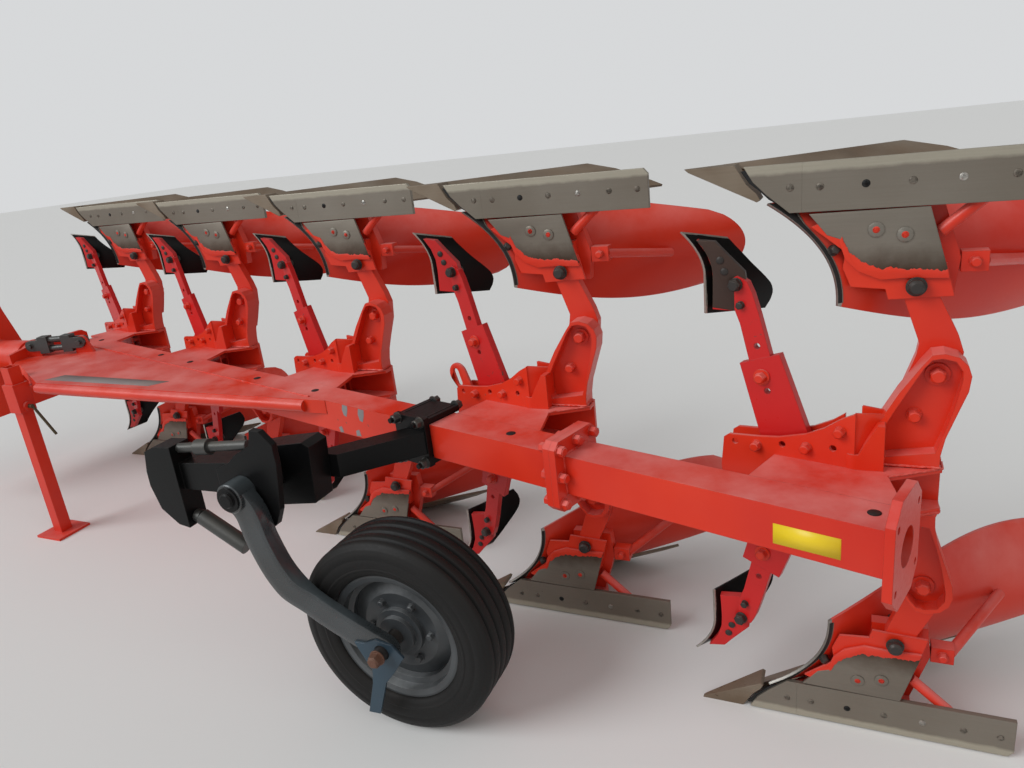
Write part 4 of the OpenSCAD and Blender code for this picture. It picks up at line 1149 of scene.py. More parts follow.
@dataclass
class Skimmers:
    """The small boards ahead of each body, with the bolts of their feet.

    Args:
        lift: Height of the board's foot above the ground line.
        ahead: How far the board's curve is moved along the travel.
        left: How far it is moved to the left.
        start: Where the plate starts behind the shin's curve.
        end_low: How much higher the board ends than it starts, at its foot.
        end_drop: How much less that is at its top.
        ends: Share of the length that the board reaches, from its foot up.
        foot_near: Place of the feet's near face, to the left.
        foot_bolts: Places of a foot's bolts, along the travel and away from the beam.
        plate_foot: Outline of the plate on the last upper foot, beside the board.
        scoured: Wear at the board's start, what it loses up the board, and along it.
    """

    curve: Curve = Curve(306, 249, 115, 2, 44, 4, 110)
    length: float = 240.0
    thickness: float = 6.0
    lift: float = 162.0
    ahead: float = 6.0
    left: float = -30.0
    start: float = 14.0
    height: float = 217.0
    end_low: float = 31.0
    end_drop: float = 5.0
    ends: tuple[float, ...] = (0.53, 0.55, 0.60, 0.67, 0.77, 0.87, 0.96, 1.0, 0.985, 0.93)
    foot_near: float = -34.0
    foot_bolts: tuple[Pair, ...] = ((190, 545), (200, 575))
    plate_foot: tuple[Pair, ...] = (
        (155.4, 438.4), (131.3, 490), (138.3, 542.4), (184.5, 591.7), (213, 623.8)
    )
    scoured: Point = (0.62, 0.5, 0.3)
    columns: int = 20
    rows: int = 20

    def end(self, v: float) -> float:
        """Share of the length that the board reaches at a height."""
        place = v * (len(self.ends) - 1)
        k = min(int(place), len(self.ends) - 2)
        return self.ends[k] + (place - k) * (self.ends[k + 1] - self.ends[k])

    def spot(self, place: Place, v: float, s: float, sink: float) -> Vector:
        """A place on a body's skimmer board, or behind it, from shares up and along it."""
        t = self.start + s * (self.length * self.end(v) - self.start)
        h = self.height * v + s * (self.end_low - self.end_drop * v)
        x, y, z = self.curve.spot(t, h, sink)
        return place.at_height(x + self.ahead, y + self.left, z + self.lift)

    def wear(self, v: float, s: float) -> float:
        """How far the soil has scoured the worked face here."""
        most, less_up, less_along = self.scoured
        return most - less_up * v - less_along * s

    def build(self, shop: Shop) -> None:
        """Makes the boards, the plate on the last upper foot and the bolts of every foot."""
        draft = Draft()
        for place in PLACES:
            add_sheet(draft, self.rows, self.columns, self.thickness, partial(self.spot, place))
        boards = shop.piece("skimmer_blades", draft, "skimmer", Body.FRAME, angle=50)
        spread_wear(boards, sheet_wear(self.rows, self.columns, self.wear, bare_foot=True) * len(PLACES))
        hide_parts("skimmer_boards")
        self.feet(shop)

    def feet(self, shop: Shop) -> None:
        """The bolts of each foot, and the brown plate that covers the last upper one."""
        floor = LAYOUT.stand_height - self.lift
        draft = Draft()
        fixings = []
        for place in PLACES:
            for x, z in self.foot_bolts:
                fixings.append(Fixing(place.at(x, self.foot_near, z), LEFT, 0.020))
        edge = [
            (self.ahead + self.curve.behind(h, -56 - self.left, self.thickness + 0.3) + 0.6, floor - h)
            for h in range(20, 206, 18)
        ]
        last = Place(LAYOUT.furrows - 1, Side.UPPER)
        draft.plate([*edge, *self.plate_foot], self.foot_near - 22.5, self.foot_near + 0.8, last.at)
        shop.piece("skimmer_foot_plate", draft, "brown", Body.FRAME, bevel=0.0006)
        style = replace(FLUSH, height=0.10, dome=0.08, top=0.35)
        shop.bolts("skimmer_foot_bolts", fixings, style, "dark", Body.FRAME)


@dataclass
class Frogs:
    """The steel plates on the frogs, the torn paint across them, and the bolts of each body.

    Args:
        plate: Outline of the steel plate, along the travel and in height.
        band: The line that the torn paint follows.
        point_gap: Outline of the black plate of painted shade that fills the gap behind the share's point.
        proud: How far the steel plate stands out.
        tear_step: Length of one step of the torn edge.
        tear_keep: Share of the last step's offset that the next one keeps.
        tear: Least and greatest offset that a step adds.
    """

    plate: tuple[Pair, ...] = (
        (-16, 127), (-57, 179), (-92, 192), (-108, 226), (-137, 252), (-172, 272), (-234, 274), (-318, 280),
        (-273, 124)
    )
    band: tuple[Pair, ...] = (
        (-90, 186), (-107, 221), (-134, 245), (-171, 262), (-234, 265), (-318, 271)
    )
    point_gap: tuple[Pair, ...] = (
        (118, 14), (142, 16), (122, 46), (98, 66), (76, 88), (60, 98), (52, 90), (80, 76), (97, 40)
    )
    proud: float = 1.0
    plate_in: float = -7.6
    paint_in: float = -7.0
    paint_t: float = 0.8
    gap_in: float = -10.0
    tear_step: float = 3.0
    tear_keep: float = 0.6
    tear: Pair = (-2.4, 2.6)
    seed: int = 7

    def build(self, shop: Shop) -> None:
        """Makes the plates, the paint, the painted shade behind the share points and the bolts of all the
        frogs.
        """
        plates = Draft()
        paint = Draft()
        gaps = Draft()
        draw = random.Random(self.seed)
        for place in PLACES:
            plates.plate(self.plate, self.plate_in, self.proud, place.at_height)
            paint.plate(self.torn_outline(draw), self.paint_in, self.proud + self.paint_t, place.at_height)
            gaps.plate(self.point_gap, self.gap_in, self.paint_in, place.at_height)
        shop.piece("frog_plates", plates, "plate", Body.FRAME, bevel=0.0006)
        # Painted shade: a black plate fills the gap between the share's point and the landside, where shadow
        # falls.
        shop.piece("point_gap_shade", gaps, "shade", Body.FRAME)
        shop.piece("torn_paint", paint, "red", Body.FRAME, bevel=0.0002)
        self.bolts(shop)

    def torn_outline(self, draw: random.Random) -> list[Pair]:
        """A band along the plate's far edge with one ragged side."""
        ragged = []
        lift = 0.0
        for (x0, h0), (x1, h1) in zip(self.band, self.band[1:]):
            steps = max(3, int(math.hypot(x1 - x0, h1 - h0) / self.tear_step))
            for k in range(steps):
                s = k / steps
                lift = self.tear_keep * lift + draw.uniform(*self.tear)
                ragged.append((x0 + s * (x1 - x0), h0 + s * (h1 - h0) - lift))
        far = [(-320, 290), (-234, 287), (-176, 290), (-126, 268), (-98, 238), (-84, 196)]
        return ragged + far

    def bolts(self, shop: Shop) -> None:
        """The bolts through the frogs and along the landsides, and black discs of painted shade in the
        landsides' open holes.
        """
        ringed, cores, main, backs, flush, open_holes, bright = [], [], [], [], [], [], []
        for place in PLACES:
            for x, h in ((-163, 171), (-224, 185)):
                ringed.append(Fixing(place.at_height(x, self.proud, h), LEFT, 0.036))
                cores.append(Fixing(place.at_height(x, self.proud + 2.2, h), LEFT, 0.019))
            main.append(Fixing(place.at_height(-253, self.proud - 0.5, 308), LEFT, 0.037))
            backs.append(Fixing(place.at_height(-253, -84.3, 303), -LEFT, 0.046))
            for k, x in enumerate((-39.5, -138, -234.5, -332.5, -433, -520)):
                kind = open_holes if k == 1 else bright if k == 3 else flush
                kind.append(Fixing(place.at_height(x, 0, 64), LEFT, 0.018))
            flush.append(Fixing(place.at_height(27, 0, 62), LEFT, 0.018))
        ring = replace(FLUSH, sides=28, height=0.05, top=0.42)
        shop.bolts("frog_rings", ringed, ring, "worn", Body.FRAME)
        shop.bolts("frog_ring_cores", cores, FLUSH, "red", Body.FRAME)
        hexed = Style(washer=0.62, washer_height=0.12)
        domed = Style(sides=16, height=0.40, dome=0.16, top=0.34, washer=0.62, washer_height=0.10)
        shop.bolts("frog_main_bolts", main, domed, "dark", Body.FRAME)
        shop.bolts("frog_main_nuts", backs, hexed, "dark", Body.FRAME)
        shop.bolts("landside_bolts", flush, FLUSH, "plate", Body.FRAME)
        # Painted shade: black discs stand for the shade inside the open holes.
        shop.bolts("landside_holes", open_holes, FLUSH, "shade", Body.FRAME)
        shop.bolts("landside_bright_bolts", bright, FLUSH, "bright", Body.FRAME)


@dataclass
class FurrowArms:
    """The bolts and weld beads of the leg holders, the skimmer channels and the stems.

    Args:
        near: Distance of a channel's outer face from its middle.
        bolt_out: Distance of a skimmer bolt's seat from the middle.
        sleeve_out: Distance of a sleeve bolt's seat from the middle.
        web_levels: Height of each row of a web, with its place along the travel at the holder.
        web_top: Height where the web's edge at the holder ends.
        eye_loops: The lifting eye's outer and inner outline, by the circle at each end.
        eye_steps: Divisions around the lifting eye.
    """

    near: float = 35.0
    bolt_out: float = 11.0
    sleeve_out: float = 12.5
    web_levels: tuple[tuple[int, int], ...] = (
        (92, -190), (121, -187), (150, -189), (179, -193), (208, -206)
    )
    web_top: int = 196
    eye_loops: tuple[tuple[Point, Point], ...] = (
        ((213, 128, 42), (180, 75, 34)), ((222, 136, 13), (209, 96, 13))
    )
    eye_steps: int = 24

    def build(self, shop: Shop) -> None:
        """Makes the fixings and the beads of all the furrows."""
        reds, washered, eyes, small = [], [], [], []
        for place in PLACES:
            for u, z in ((102, 78), (-31, 96), (-114, 155)):
                reds.append(Fixing(place.on_arm(u, self.near, z), BEAM_OUT, 0.024))
            for u, z in ((102, 78), (-31, 96)):
                reds.append(Fixing(place.on_arm(u, -self.near, z), -BEAM_OUT, 0.024))
            reds.append(Fixing(place.at(-264, 10, 186), LEFT, 0.028))
            washered.append(Fixing(place.at(-308, 10, 293), LEFT, 0.033))
            reds.append(Fixing(place.at(-264, -50, 186), -LEFT, 0.028))
            washered.append(Fixing(place.at(-311, -50, 292), -LEFT, 0.034))
            for side in (1, -1):
                out = BEAM_OUT * side
                washered.append(Fixing(place.on_arm(96, side * self.sleeve_out, 266), out, 0.026))
                eyes.append(Fixing(place.on_arm(164, side * self.bolt_out, 511), out, 0.030))
            small.append(Fixing(place.on_arm(152, self.bolt_out, 457), BEAM_OUT, 0.018))
            reds.append(Fixing(place.at_height(-374, -48, 262), LEFT, 0.022))
        shop.bolts("arm_bolts", reds, Style(washer=0.66), "red", Body.FRAME)
        shop.bolts("pivot_bolts", washered, Style(washer=0.85, washer_height=0.16), "red", Body.FRAME)
        shop.bolts("skimmer_bolts", eyes, Style(washer=0.6, height=0.5, dome=0.16), "dark", Body.FRAME)
        shop.bolts("skimmer_set_bolts", small, Style(washer=0.6), "dark", Body.FRAME)
        self.webs(shop)
        self.eye(shop)
        self.welds(shop)

    def webs(self, shop: Shop) -> None:
        """The plates that join each channel's walls to its leg holder."""
        draft = Draft()
        for place in PLACES:
            for out, y in ((29.0, 42.0), (-30.0, 14.0)):
                rows = [[place.on_arm(-146, out + t, z) for t in (-5, 5)] +
                        [place.at(x, y + t, min(z, self.web_top)) for t in (5, -5)]
                        for z, x in self.web_levels]
                near = [[row[1], row[2]] for row in rows]
                far = [[row[0], row[3]] for row in rows]
                draft.shell(near, far)
        shop.piece("holder_webs", draft, "red", Body.FRAME, bevel=0.0015)

    def eye(self, shop: Shop) -> None:
        """The long lifting eye in the fourth furrow's channel."""
        place = Place(3, Side.UPPER)
        grids: list[list[list[Vector]]] = [[], []]
        for ends in self.eye_loops:
            tilt = math.atan2(ends[0][1] - ends[1][1], ends[0][0] - ends[1][0]) - math.pi / 2
            loop = []
            for k in range(self.eye_steps + 1):
                a = tilt + math.tau * k / self.eye_steps
                u, z, r = ends[0] if k <= self.eye_steps // 2 or k == self.eye_steps else ends[1]
                loop.append((u + r * math.cos(a), z + r * math.sin(a)))
            for side, v in enumerate((5.0, -5.0)):
                grids[side].append([place.on_arm(u, v, z) for u, z in loop])
        draft = Draft()
        draft.shell(*grids)
        shop.piece("lifting_eye", draft, "red", Body.FRAME, bevel=0.0012)

    def welds(self, shop: Shop) -> None:
        """Beads where each holder stands on its bracket."""
        lines = []
        for place in PLACES:
            ring = [(-188, 50), (-322, 50), (-322, -16)]
            lines.append([place.at(x, y, 65) for x, y in ring])
            lines.append([place.at(-330, y, 60) for y in (2, 40)] + [place.at(-210, 110, 60)])
            lines.append([place.on_arm(u, -self.near, 1) for u in (-100, 60, 200)])
        shop.beads("arm_welds", lines, 0.0035, "red", Body.FRAME)


@dataclass
class BeamDress:
    """What dresses the beam and the wedge: joint bolts, black discs of painted shade in the holes, beads,
    worn patches and a blank label.

    Args:
        flange_t: Thickness of a joint plate.
        bolt_out: Distance of the joint's bolts from the beam's middle.
        patch_in: How far the patches reach into the beam.
        hole_spots: Places of the holes that get black discs of painted shade, along the travel and to the
            left.
    """

    flange_t: float = 22.0
    bolt_out: float = 80.0
    patch_in: float = 0.3
    hole_spots: tuple[Pair, ...] = (
        (-101, 250), (-862, 500), (-1168, 598), (-1764, 790), (-2166, 905), (-3155, 1198), (-4178, 1500)
    )

    def build(self, shop: Shop) -> None:
        """Makes the beam's and the wedge's details."""
        joint = -LAYOUT.joint_back * LAYOUT.stretch
        end = -LAYOUT.beam_back * LAYOUT.stretch
        along = Vector((math.cos(LAYOUT.swing), -math.sin(LAYOUT.swing), 0))
        fixings = []
        corners = [(v, z) for v in (-self.bolt_out, self.bolt_out) for z in (-84, 0, 84)]
        for v, z in corners + [(0, -88), (0, 88)]:
            for u, way in ((joint - self.flange_t, -along), (joint + self.flange_t, along)):
                fixings.append(Fixing(LAYOUT.beam_spot(u, v, z), way, 0.027))
        shop.bolts("joint_bolts", fixings, Style(washer=0.66), "red", Body.FRAME)
        self.hole_shades(shop)
        half = LAYOUT.half_beam + 1
        square = [(half, half), (-half, half), (-half, -half), (half, -half), (half, half)]
        lines = [[LAYOUT.beam_spot(u, v, z) for v, z in square]
                 for u in (joint - self.flange_t, joint + self.flange_t, end + self.flange_t)]
        lines.append([LAYOUT.spot(x, LAYOUT.near_face(x) + 1, half) for x in range(-2190, 60, 120)])
        shop.beads("beam_welds", lines, 0.0042, "red", Body.FRAME)
        self.patches(shop)

    def hole_shades(self, shop: Shop) -> None:
        """Black discs of painted shade in the holes along the beam's top."""
        fixings = [Fixing(LAYOUT.spot(x, y, LAYOUT.half_beam), UP, 0.030) for x, y in self.hole_spots]
        style = replace(FLUSH, height=0.03, dome=0.05)
        # Painted shade: black discs stand for the shade inside the beam's holes.
        shop.bolts("beam_plugs", fixings, style, "shade", Body.FRAME)

    def patches(self, shop: Shop) -> None:
        """The worn grey label on the wedge, the scuffs on the beam and the plain yellow label."""
        def on_top(x: float, z: float, y: float) -> Vector:
            return LAYOUT.spot(x, y, z)

        face = LAYOUT.half_beam
        sunk = face - self.patch_in
        grey = Draft()
        label = [(-540, 925), (-1270, 941), (-1325, 872), (-590, 846)]
        grey.plate(label, sunk, face + 0.5, on_top)
        shop.piece("worn_label", grey, "label", Body.FRAME, bevel=0.0002)
        scuffs = Draft()
        for outline in (
            [(-2514, 59), (-2543, 58), (-2541, 40), (-2528, 12), (-2512, 16), (-2506, 38)],
            [(-2608, 58), (-2640, 56), (-2636, 34), (-2622, 6), (-2606, 10), (-2600, 34)],
            [(-2486, -32), (-2494, -57), (-2472, -59), (-2466, -40)],
            [(-2592, -28), (-2600, -54), (-2570, -57), (-2572, -36)],
        ):
            scuffs.plate(outline, sunk, face + 0.3, LAYOUT.beam_spot)
        shop.piece("beam_scuffs", scuffs, "label", Body.FRAME)
        yellow = Draft()
        label = [(-4156, 12), (-4312, 14), (-4312, -40), (-4156, -42)]
        yellow.plate(label, sunk, face + 0.4, LAYOUT.beam_spot)
        shop.piece("yellow_label", yellow, "yellow", Body.FRAME, bevel=0.0002)


@dataclass
class GaugeWheel:
    """The gauge wheel: its tyre, its nuts, the axle's bolt and the fixings of its leg and clamp.

    Args:
        head_out: Place of the head's outer face, to the left.
        head_in: Place where the pivot starts, to the left.
        leg_t: Thickness of the leg above its knee.
        low_leg_t: Its thickness below the knee.
        leg_path: The bends of the leg's middle line, along the travel and in height.
        thin_from: Share of the bends passed where the leg starts to get thinner.
        thin_over: Share of the bends over which it does.
        round_angles: Angles of the cross lines in the leg's round ends, in radians.
        clamp_back: Place of the clamp's middle, back along the travel.
        clamp_half: Distance of its bolts from there, along the beam.
        clamp_above: Distance of its bolts from the beam's top and underside.
        clamp_near: Distance of the nuts' near seats from the beam's side.
        clamp_far: Distance of their far seats from the beam's other side.
    """

    steps: int = 144
    groove_depth: float = 11.0
    ribs: int = 5
    nut_ring: float = 106.0
    nuts: int = 6
    head_out: float = 1612.5
    leg_gap: float = 6.0
    leg_t: float = 50.0
    low_leg_t: float = 30.0
    leg_w: float = 90.0
    head_in: float = 1405.0
    pivot_d: float = 96.0
    pivot_reach: float = 12.0
    pivot_bore: float = 4.0
    pivot_chamfer: float = 3.0
    bend_steps: int = 8
    thin_from: float = 0.56
    thin_over: float = 0.16
    round_angles: tuple[float, ...] = (0.12, 0.5, 0.9, 1.25)
    clamp_back: float = 2790.0
    clamp_half: float = 55.0
    clamp_above: float = 13.0
    clamp_near: float = 22.3
    clamp_far: float = 24.0
    leg_path: tuple[Pair, ...] = (
        (-2428, 0), (-2468, -56), (-2489, -150), (-2533, -258), (-2605, -342), (-2700, -400)
    )

    def centre(self) -> Vector:
        """The wheel's middle."""
        return LAYOUT.spot(-LAYOUT.wheel_back, LAYOUT.wheel_left, LAYOUT.wheel_up)

    def tyre_profile(self) -> list[Pair]:
        """Section of the tyre as (radius, place across), in metres."""
        r = LAYOUT.tyre_d / 2 - 1
        half = LAYOUT.tyre_w / 2
        rib = LAYOUT.tyre_w / self.ribs
        side = [
            (200.3, 44), (200.3, 71.5), (218.3, 72.5), (218.3, 82), (222, 88), (229, 93.5), (238, 96.5),
            (243, 97.5), (245, 99.5), (250, 100), (252, 98.8), (262, half - 1.5), (278, half),
            (281, half - 1.8), (286, half - 1.8), (289, half - 0.2), (299, half - 2.4), (306, 98.5),
            (309, 96.8), (313, 96.3), (315, 94.5), (321, 91), (327, 86.5), (331, 82), (r - 1.5, 77)
        ]
        tread = []
        for g in (1.5 * rib, 0.5 * rib):
            low = r - self.groove_depth
            tread += [(r - 0.6, g + 9), (r - 2.0, g + 7), (low + 2, g + 4.5), (low, g + 3), (low, g - 3),
                      (low + 2, g - 4.5), (r - 2.0, g - 7), (r - 0.6, g - 9), (r, g - rib / 2)]
        upper = side + tread
        lower = [(radius, -along) for radius, along in reversed(upper[:-1])]
        return [(radius / 1000, along / 1000) for radius, along in upper + lower]

    def build(self, shop: Shop) -> None:
        """Makes the wheel's pieces."""
        tyre = Draft()
        tyre.turned(self.tyre_profile(), self.centre(), self.steps)
        ring = shop.piece("tyre_ring", tyre, "rubber", Body.WHEEL, angle=42)
        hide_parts("tyre")
        nuts = []
        for k in range(self.nuts):
            a = math.tau * k / self.nuts
            offset = Vector((math.cos(a), 0, math.sin(a))) * self.nut_ring / 1000
            nuts.append(Fixing(self.centre() + offset + LEFT * 0.040, LEFT, 0.020))
        shop.bolts("wheel_nuts", nuts, Style(washer=0.7, height=0.6), "rim", Body.WHEEL)
        outer = self.head_out + self.leg_gap + self.low_leg_t
        hub = [Fixing(LAYOUT.spot(-LAYOUT.wheel_back, outer + 30, LAYOUT.wheel_up), LEFT, 0.036)]
        shop.bolts("axle_bolt", hub, Style(washer=0.7, height=0.6, dome=0.14), "rust", Body.CARRIER)
        pivot = [Fixing(self.pivot_spot(self.pivot_end()), LEFT, 0.050)]
        cap = Style(sides=24, height=0.1, dome=0.1, washer=0.8)
        shop.bolts("pivot_cap", pivot, cap, "black", Body.CARRIER)
        self.clamp_nuts(shop)
        self.leg(shop)

    def pivot_spot(self, y: float) -> Vector:
        """A place on the axis that the leg swings about."""
        x, z = self.leg_path[0]
        return LAYOUT.spot(x, y, z)

    def pivot_end(self) -> float:
        """How far left the pivot reaches."""
        return self.head_out + self.leg_gap + self.leg_t + self.pivot_reach

    def leg_line(self) -> list[tuple[Vector, Vector, float]]:
        """The leg's middle line as (place, way, share of the bends passed), smoothed through them."""
        ends = [Vector(p) for p in self.leg_path] + [Vector((-LAYOUT.wheel_back, LAYOUT.wheel_up))]
        padded = [2 * ends[0] - ends[1]] + ends + [2 * ends[-1] - ends[-2]]
        line = []
        for i in range(len(ends) - 1):
            a, b, c, d = padded[i:i + 4]
            for k in range(self.bend_steps + (i == len(ends) - 2)):
                t = k / self.bend_steps
                where = 0.5 * (2 * b + t * (c - a) + t * t * (2 * a - 5 * b + 4 * c - d)
                               + t ** 3 * (3 * b - a - 3 * c + d))
                way = (c - a) + 2 * t * (2 * a - 5 * b + 4 * c - d) + 3 * t * t * (3 * b - a - 3 * c + d)
                line.append((where, way.normalized(), (i + t) / (len(ends) - 1)))
        return line

    def leg(self, shop: Shop) -> None:
        """The wheel's curved leg, thinner below its knee, with round ends, and its pivot."""
        line = self.leg_line()
        half = self.leg_w / 2
        rows = [(p - way * half * math.cos(a), way, half * math.sin(a), 0.0)
                for p, way, _ in line[:1] for a in self.round_angles]
        rows += [(p, way, half, share) for p, way, share in line]
        rows += [(p + way * half * math.cos(a), way, half * math.sin(a), 1.0)
                 for p, way, _ in line[-1:] for a in reversed(self.round_angles)]
        inner = self.head_out + self.leg_gap
        near, far = [], []
        for p, way, width, share in rows:
            thin = min(1.0, max(0.0, (share - self.thin_from) / self.thin_over))
            thin = thin * thin * (3 - 2 * thin)
            outer = inner + self.leg_t + (self.low_leg_t - self.leg_t) * thin
            cross = Vector((-way.y, way.x))
            row = [p + cross * width * side for side in (-1, -0.5, 0, 0.5, 1)]
            near.append([LAYOUT.spot(q.x, outer, q.y) for q in row])
            far.append([LAYOUT.spot(q.x, inner, q.y) for q in row])
        draft = Draft()
        draft.shell(near, far)
        leg = shop.piece("leg_bar", draft, "leg", Body.CARRIER, bevel=0.004, angle=50)
        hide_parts("wheel_leg")
        pivot = Draft()
        reach = self.pivot_end() - self.head_in
        r, bore, chamfer = self.pivot_d / 2, self.pivot_bore, self.pivot_chamfer
        section = [(bore, 0.0), (r, 0.0), (r, reach - chamfer), (r - chamfer, reach), (bore, reach)]
        profile = [(radius / 1000, along / 1000) for radius, along in section]
        pivot.turned(profile, self.pivot_spot(self.head_in), 64)
        shop.piece("leg_pivot", pivot, "leg", Body.CARRIER)

    def clamp_nuts(self, shop: Shop) -> None:
        """The nuts of the clamp's long bolts, on its near plate and behind the beam."""
        mid = -self.clamp_back * LAYOUT.stretch
        z = LAYOUT.half_beam + self.clamp_above
        near, far = LAYOUT.half_beam + self.clamp_near, -LAYOUT.half_beam - self.clamp_far
        nuts = []
        for u in (mid - self.clamp_half, mid + self.clamp_half):
            for up in (-z, z):
                nuts.append(Fixing(LAYOUT.beam_spot(u, near, up), BEAM_OUT, 0.028))
                nuts.append(Fixing(LAYOUT.beam_spot(u, far, up), -BEAM_OUT, 0.028))
        shop.bolts("clamp_nuts", nuts, Style(washer=0.72, height=0.75), "steel", Body.FRAME)


@dataclass
class Hitch:
    """The bolts, collars and beads of the headstock and of the plate that carries the frame.

    Args:
        left: Place of the turnover axis, to the left.
        half_span: Distance of a lower-link ear's outer face from the axis.
        base_bolt: Place of a base bolt along the travel, beside the axis, and up.
        ear_levels: Heights along the weld of an ear.
    """

    left: float = 400.0
    link_ahead: float = 960.0
    link_drop: float = 300.0
    half_span: float = 482.5
    plate_face: float = 85.0
    plate_ring: float = 118.0
    housing_r: float = 96.0
    housing_ends: Pair = (639.0, 661.0)
    ear_t: float = 25.0
    ear_levels: Point = (-355.0, -270.0, -195.0)
    base_bolt: Point = (715.0, 150.0, -345.0)
    ring_steps: int = 32

    def ring(self, radius: float, angle: float) -> Pair:
        """A place about the turnover axis, to the left and up."""
        return self.left + radius * math.cos(angle), radius * math.sin(angle)

    def build(self, shop: Shop) -> None:
        """Makes the hitch's details."""
        plate = []
        for k in range(4):
            y, z = self.ring(self.plate_ring, math.radians(45 + 90 * k))
            plate.append(Fixing(LAYOUT.spot(self.plate_face, y, z), AHEAD, 0.030))
        shop.bolts("turnover_bolts", plate, Style(washer=0.7), "dark", Body.FRAME)
        collars = []
        for side in (-1, 1):
            y = self.left + side * self.half_span
            collars.append(Fixing(LAYOUT.spot(self.link_ahead, y, -self.link_drop), LEFT * side, 0.068))
        flat = replace(FLUSH, sides=28, height=0.06, top=0.45, washer_height=0.02)
        shop.bolts("link_collars", collars, flat, "dark", Body.HITCH)
        x, aside, z = self.base_bolt
        base = [Fixing(LAYOUT.spot(x, self.left + side * aside, z), UP, 0.026) for side in (-1, 1)]
        shop.bolts("base_bolts", base, Style(washer=0.7), "dark", Body.HITCH)
        turns = [math.tau * k / self.ring_steps for k in range(self.ring_steps + 1)]
        ring = [self.ring(self.housing_r, turn) for turn in turns]
        lines = [[LAYOUT.spot(x, y, z) for y, z in ring] for x in self.housing_ends]
        for side in (-1, 1):
            for edge in (self.half_span, self.half_span - self.ear_t):
                y = self.left + side * edge
                lines.append([LAYOUT.spot(self.housing_ends[1], y, z) for z in self.ear_levels])
        shop.beads("headstock_welds", lines, 0.005, "red", Body.HITCH)


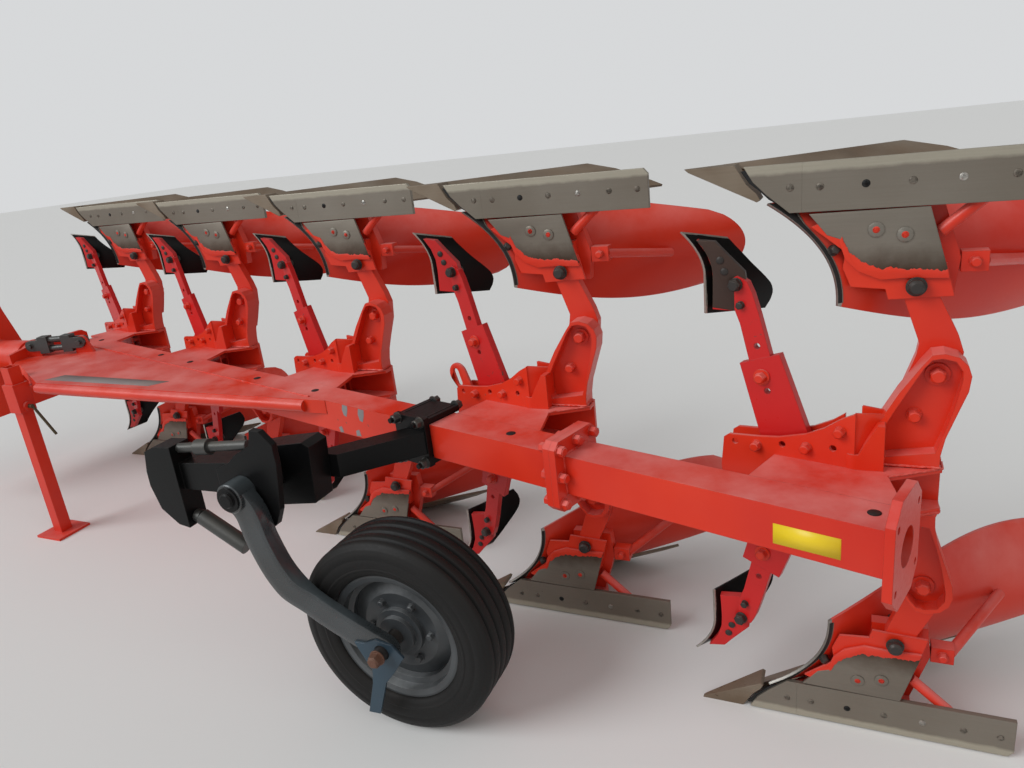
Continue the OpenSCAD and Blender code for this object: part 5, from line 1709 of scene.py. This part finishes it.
@dataclass
class Studio:
    """The floor, the light and the camera at the photograph's viewpoint."""

    eye: Point = (-5.04025, 2.76935, 0.56482)
    right: Point = (-0.91031, -0.39918, -0.10950)
    down: Point = (-0.03190, 0.33140, -0.94295)
    look: Point = (0.41269, -0.85489, -0.31441)
    lens: float = 26.63
    floor_tone: Colour = (0.76, 0.75, 0.73)
    floor_reach: float = 60.0
    sky_tone: Colour = (0.68, 0.69, 0.70)
    sky_strength: float = 0.52
    gloss_strength: float = 0.42

    def camera(self) -> None:
        """Sets the camera up."""
        camera = bpy.data.cameras.new("photo_camera")
        camera.sensor_width = 36.0
        camera.lens = self.lens
        camera.clip_end = 200.0
        eye = bpy.data.objects.new("photo_camera", camera)
        bpy.context.scene.collection.objects.link(eye)
        axes = (Vector(self.right), -Vector(self.down), -Vector(self.look))
        eye.matrix_world = Matrix.Translation(self.eye) @ Matrix(axes).transposed().to_4x4()
        bpy.context.scene.camera = eye

    def floor(self) -> None:
        """Lays a plain pale floor under the plough."""
        level = -(LAYOUT.stand_height + LAYOUT.top_up) / 1000
        mesh = bpy.data.meshes.new("floor")
        ways = ((-1, -1), (1, -1), (1, 1), (-1, 1))
        corners = [(x * self.floor_reach, y * self.floor_reach, level) for x, y in ways]
        mesh.from_pydata(corners, [], [(0, 1, 2, 3)])
        material = bpy.data.materials.new("floor")
        material.use_nodes = True
        shader = material.node_tree.nodes["Principled BSDF"]
        shader.inputs["Base Color"].default_value = (*self.floor_tone, 1.0)
        shader.inputs["Roughness"].default_value = 0.9
        mesh.materials.append(material)
        floor = bpy.data.objects.new("floor", mesh)
        bpy.context.scene.collection.objects.link(floor)

    def sky(self) -> None:
        """A pale world that also shows in gloss."""
        world = bpy.data.worlds.new("studio")
        bpy.context.scene.world = world
        world.use_nodes = True
        graph = Graph(world.node_tree)
        shade = world.node_tree.nodes["Background"]
        shade.inputs["Color"].default_value = (*self.sky_tone, 1.0)
        path = graph.node("ShaderNodeLightPath").outputs
        gloss = graph.span(path["Is Glossy Ray"], 0.0, 1.0, self.sky_strength, self.gloss_strength)
        strength = graph.math("MAXIMUM", path["Is Camera Ray"], gloss)
        world.node_tree.links.new(strength, shade.inputs["Strength"])

    def lamp(self, name: str, way: Point, spread: float, strength: float, tone: Colour) -> None:
        """Sets one wide soft light that falls evenly on everything.

        Args:
            name: The light's name.
            way: Where it comes from, as a direction.
            spread: Its apparent width in degrees.
            strength: Its strength in watts per square metre.
            tone: Its colour.
        """
        light = bpy.data.lights.new(name, "SUN")
        light.angle = math.radians(spread)
        light.energy = strength
        light.color = tone
        lamp = bpy.data.objects.new(name, light)
        lamp.rotation_euler = (-Vector(way)).to_track_quat("-Z", "Y").to_euler()
        bpy.context.scene.collection.objects.link(lamp)

    def build(self) -> None:
        """Sets the whole studio up."""
        self.camera()
        self.floor()
        self.sky()
        self.lamp("door_side", (0.75, 0.75, 0.75), 36.0, 1.9, (0.93, 0.97, 1.0))
        self.lamp("near_side", (-0.75, 0.60, 0.80), 60.0, 0.45, (1.0, 0.97, 0.94))
        view = bpy.context.scene.view_settings
        view.view_transform = "Standard"


NODE_FINISH = {
    "headstock": "red", "hitch_shaft": "steel", "cylinder_barrel": "dark", "cylinder_rod": "bright",
    "turnover_shaft": "red", "front_frame": "red", "offset_screw": "steel", "main_beam": "red",
    "rear_beam": "red", "stand_sleeve": "red", "stand_leg": "red", "stand_pin": "olive",
    "wheel_clamp": "black", "wheel_arm": "black", "wheel_head": "black", "depth_screws": "steel",
    "wheel_leg": "leg", "wheel_axle": "dark", "wheel_scraper": "scraper", "wheel_rim": "rim",
    "shares": "share", "landsides": "landside", "stays": "red", "skimmer_stems": "crimson",
}


def dress_nodes(shop: Shop) -> None:
    """Gives each construction node its finish."""
    for name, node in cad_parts.items():
        stem, _, number = name.rpartition("_")
        finish = NODE_FINISH.get(stem if number.isdigit() else name, "red")
        node.data.materials.clear()
        node.data.materials.append(shop.finishes[finish])


def main() -> None:
    """Builds and dresses the plough, one sub-assembly after another."""
    logging.basicConfig(level=logging.INFO, format="%(name)s: %(message)s")
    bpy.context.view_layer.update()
    studio = Studio()
    studio.build()
    effects = Effects()
    shop = Shop(Growths(), {key: finish.make(effects) for key, finish in FINISHES.items()})
    dress_nodes(shop)
    parts = (Mouldboards(), Shares(), Skimmers(), Frogs(), FurrowArms(), BeamDress(), GaugeWheel(), Hitch())
    for part in parts:
        LOG.info("building %s", type(part).__name__)
        part.build(shop)
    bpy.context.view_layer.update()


if __name__ == "__main__":
    main()
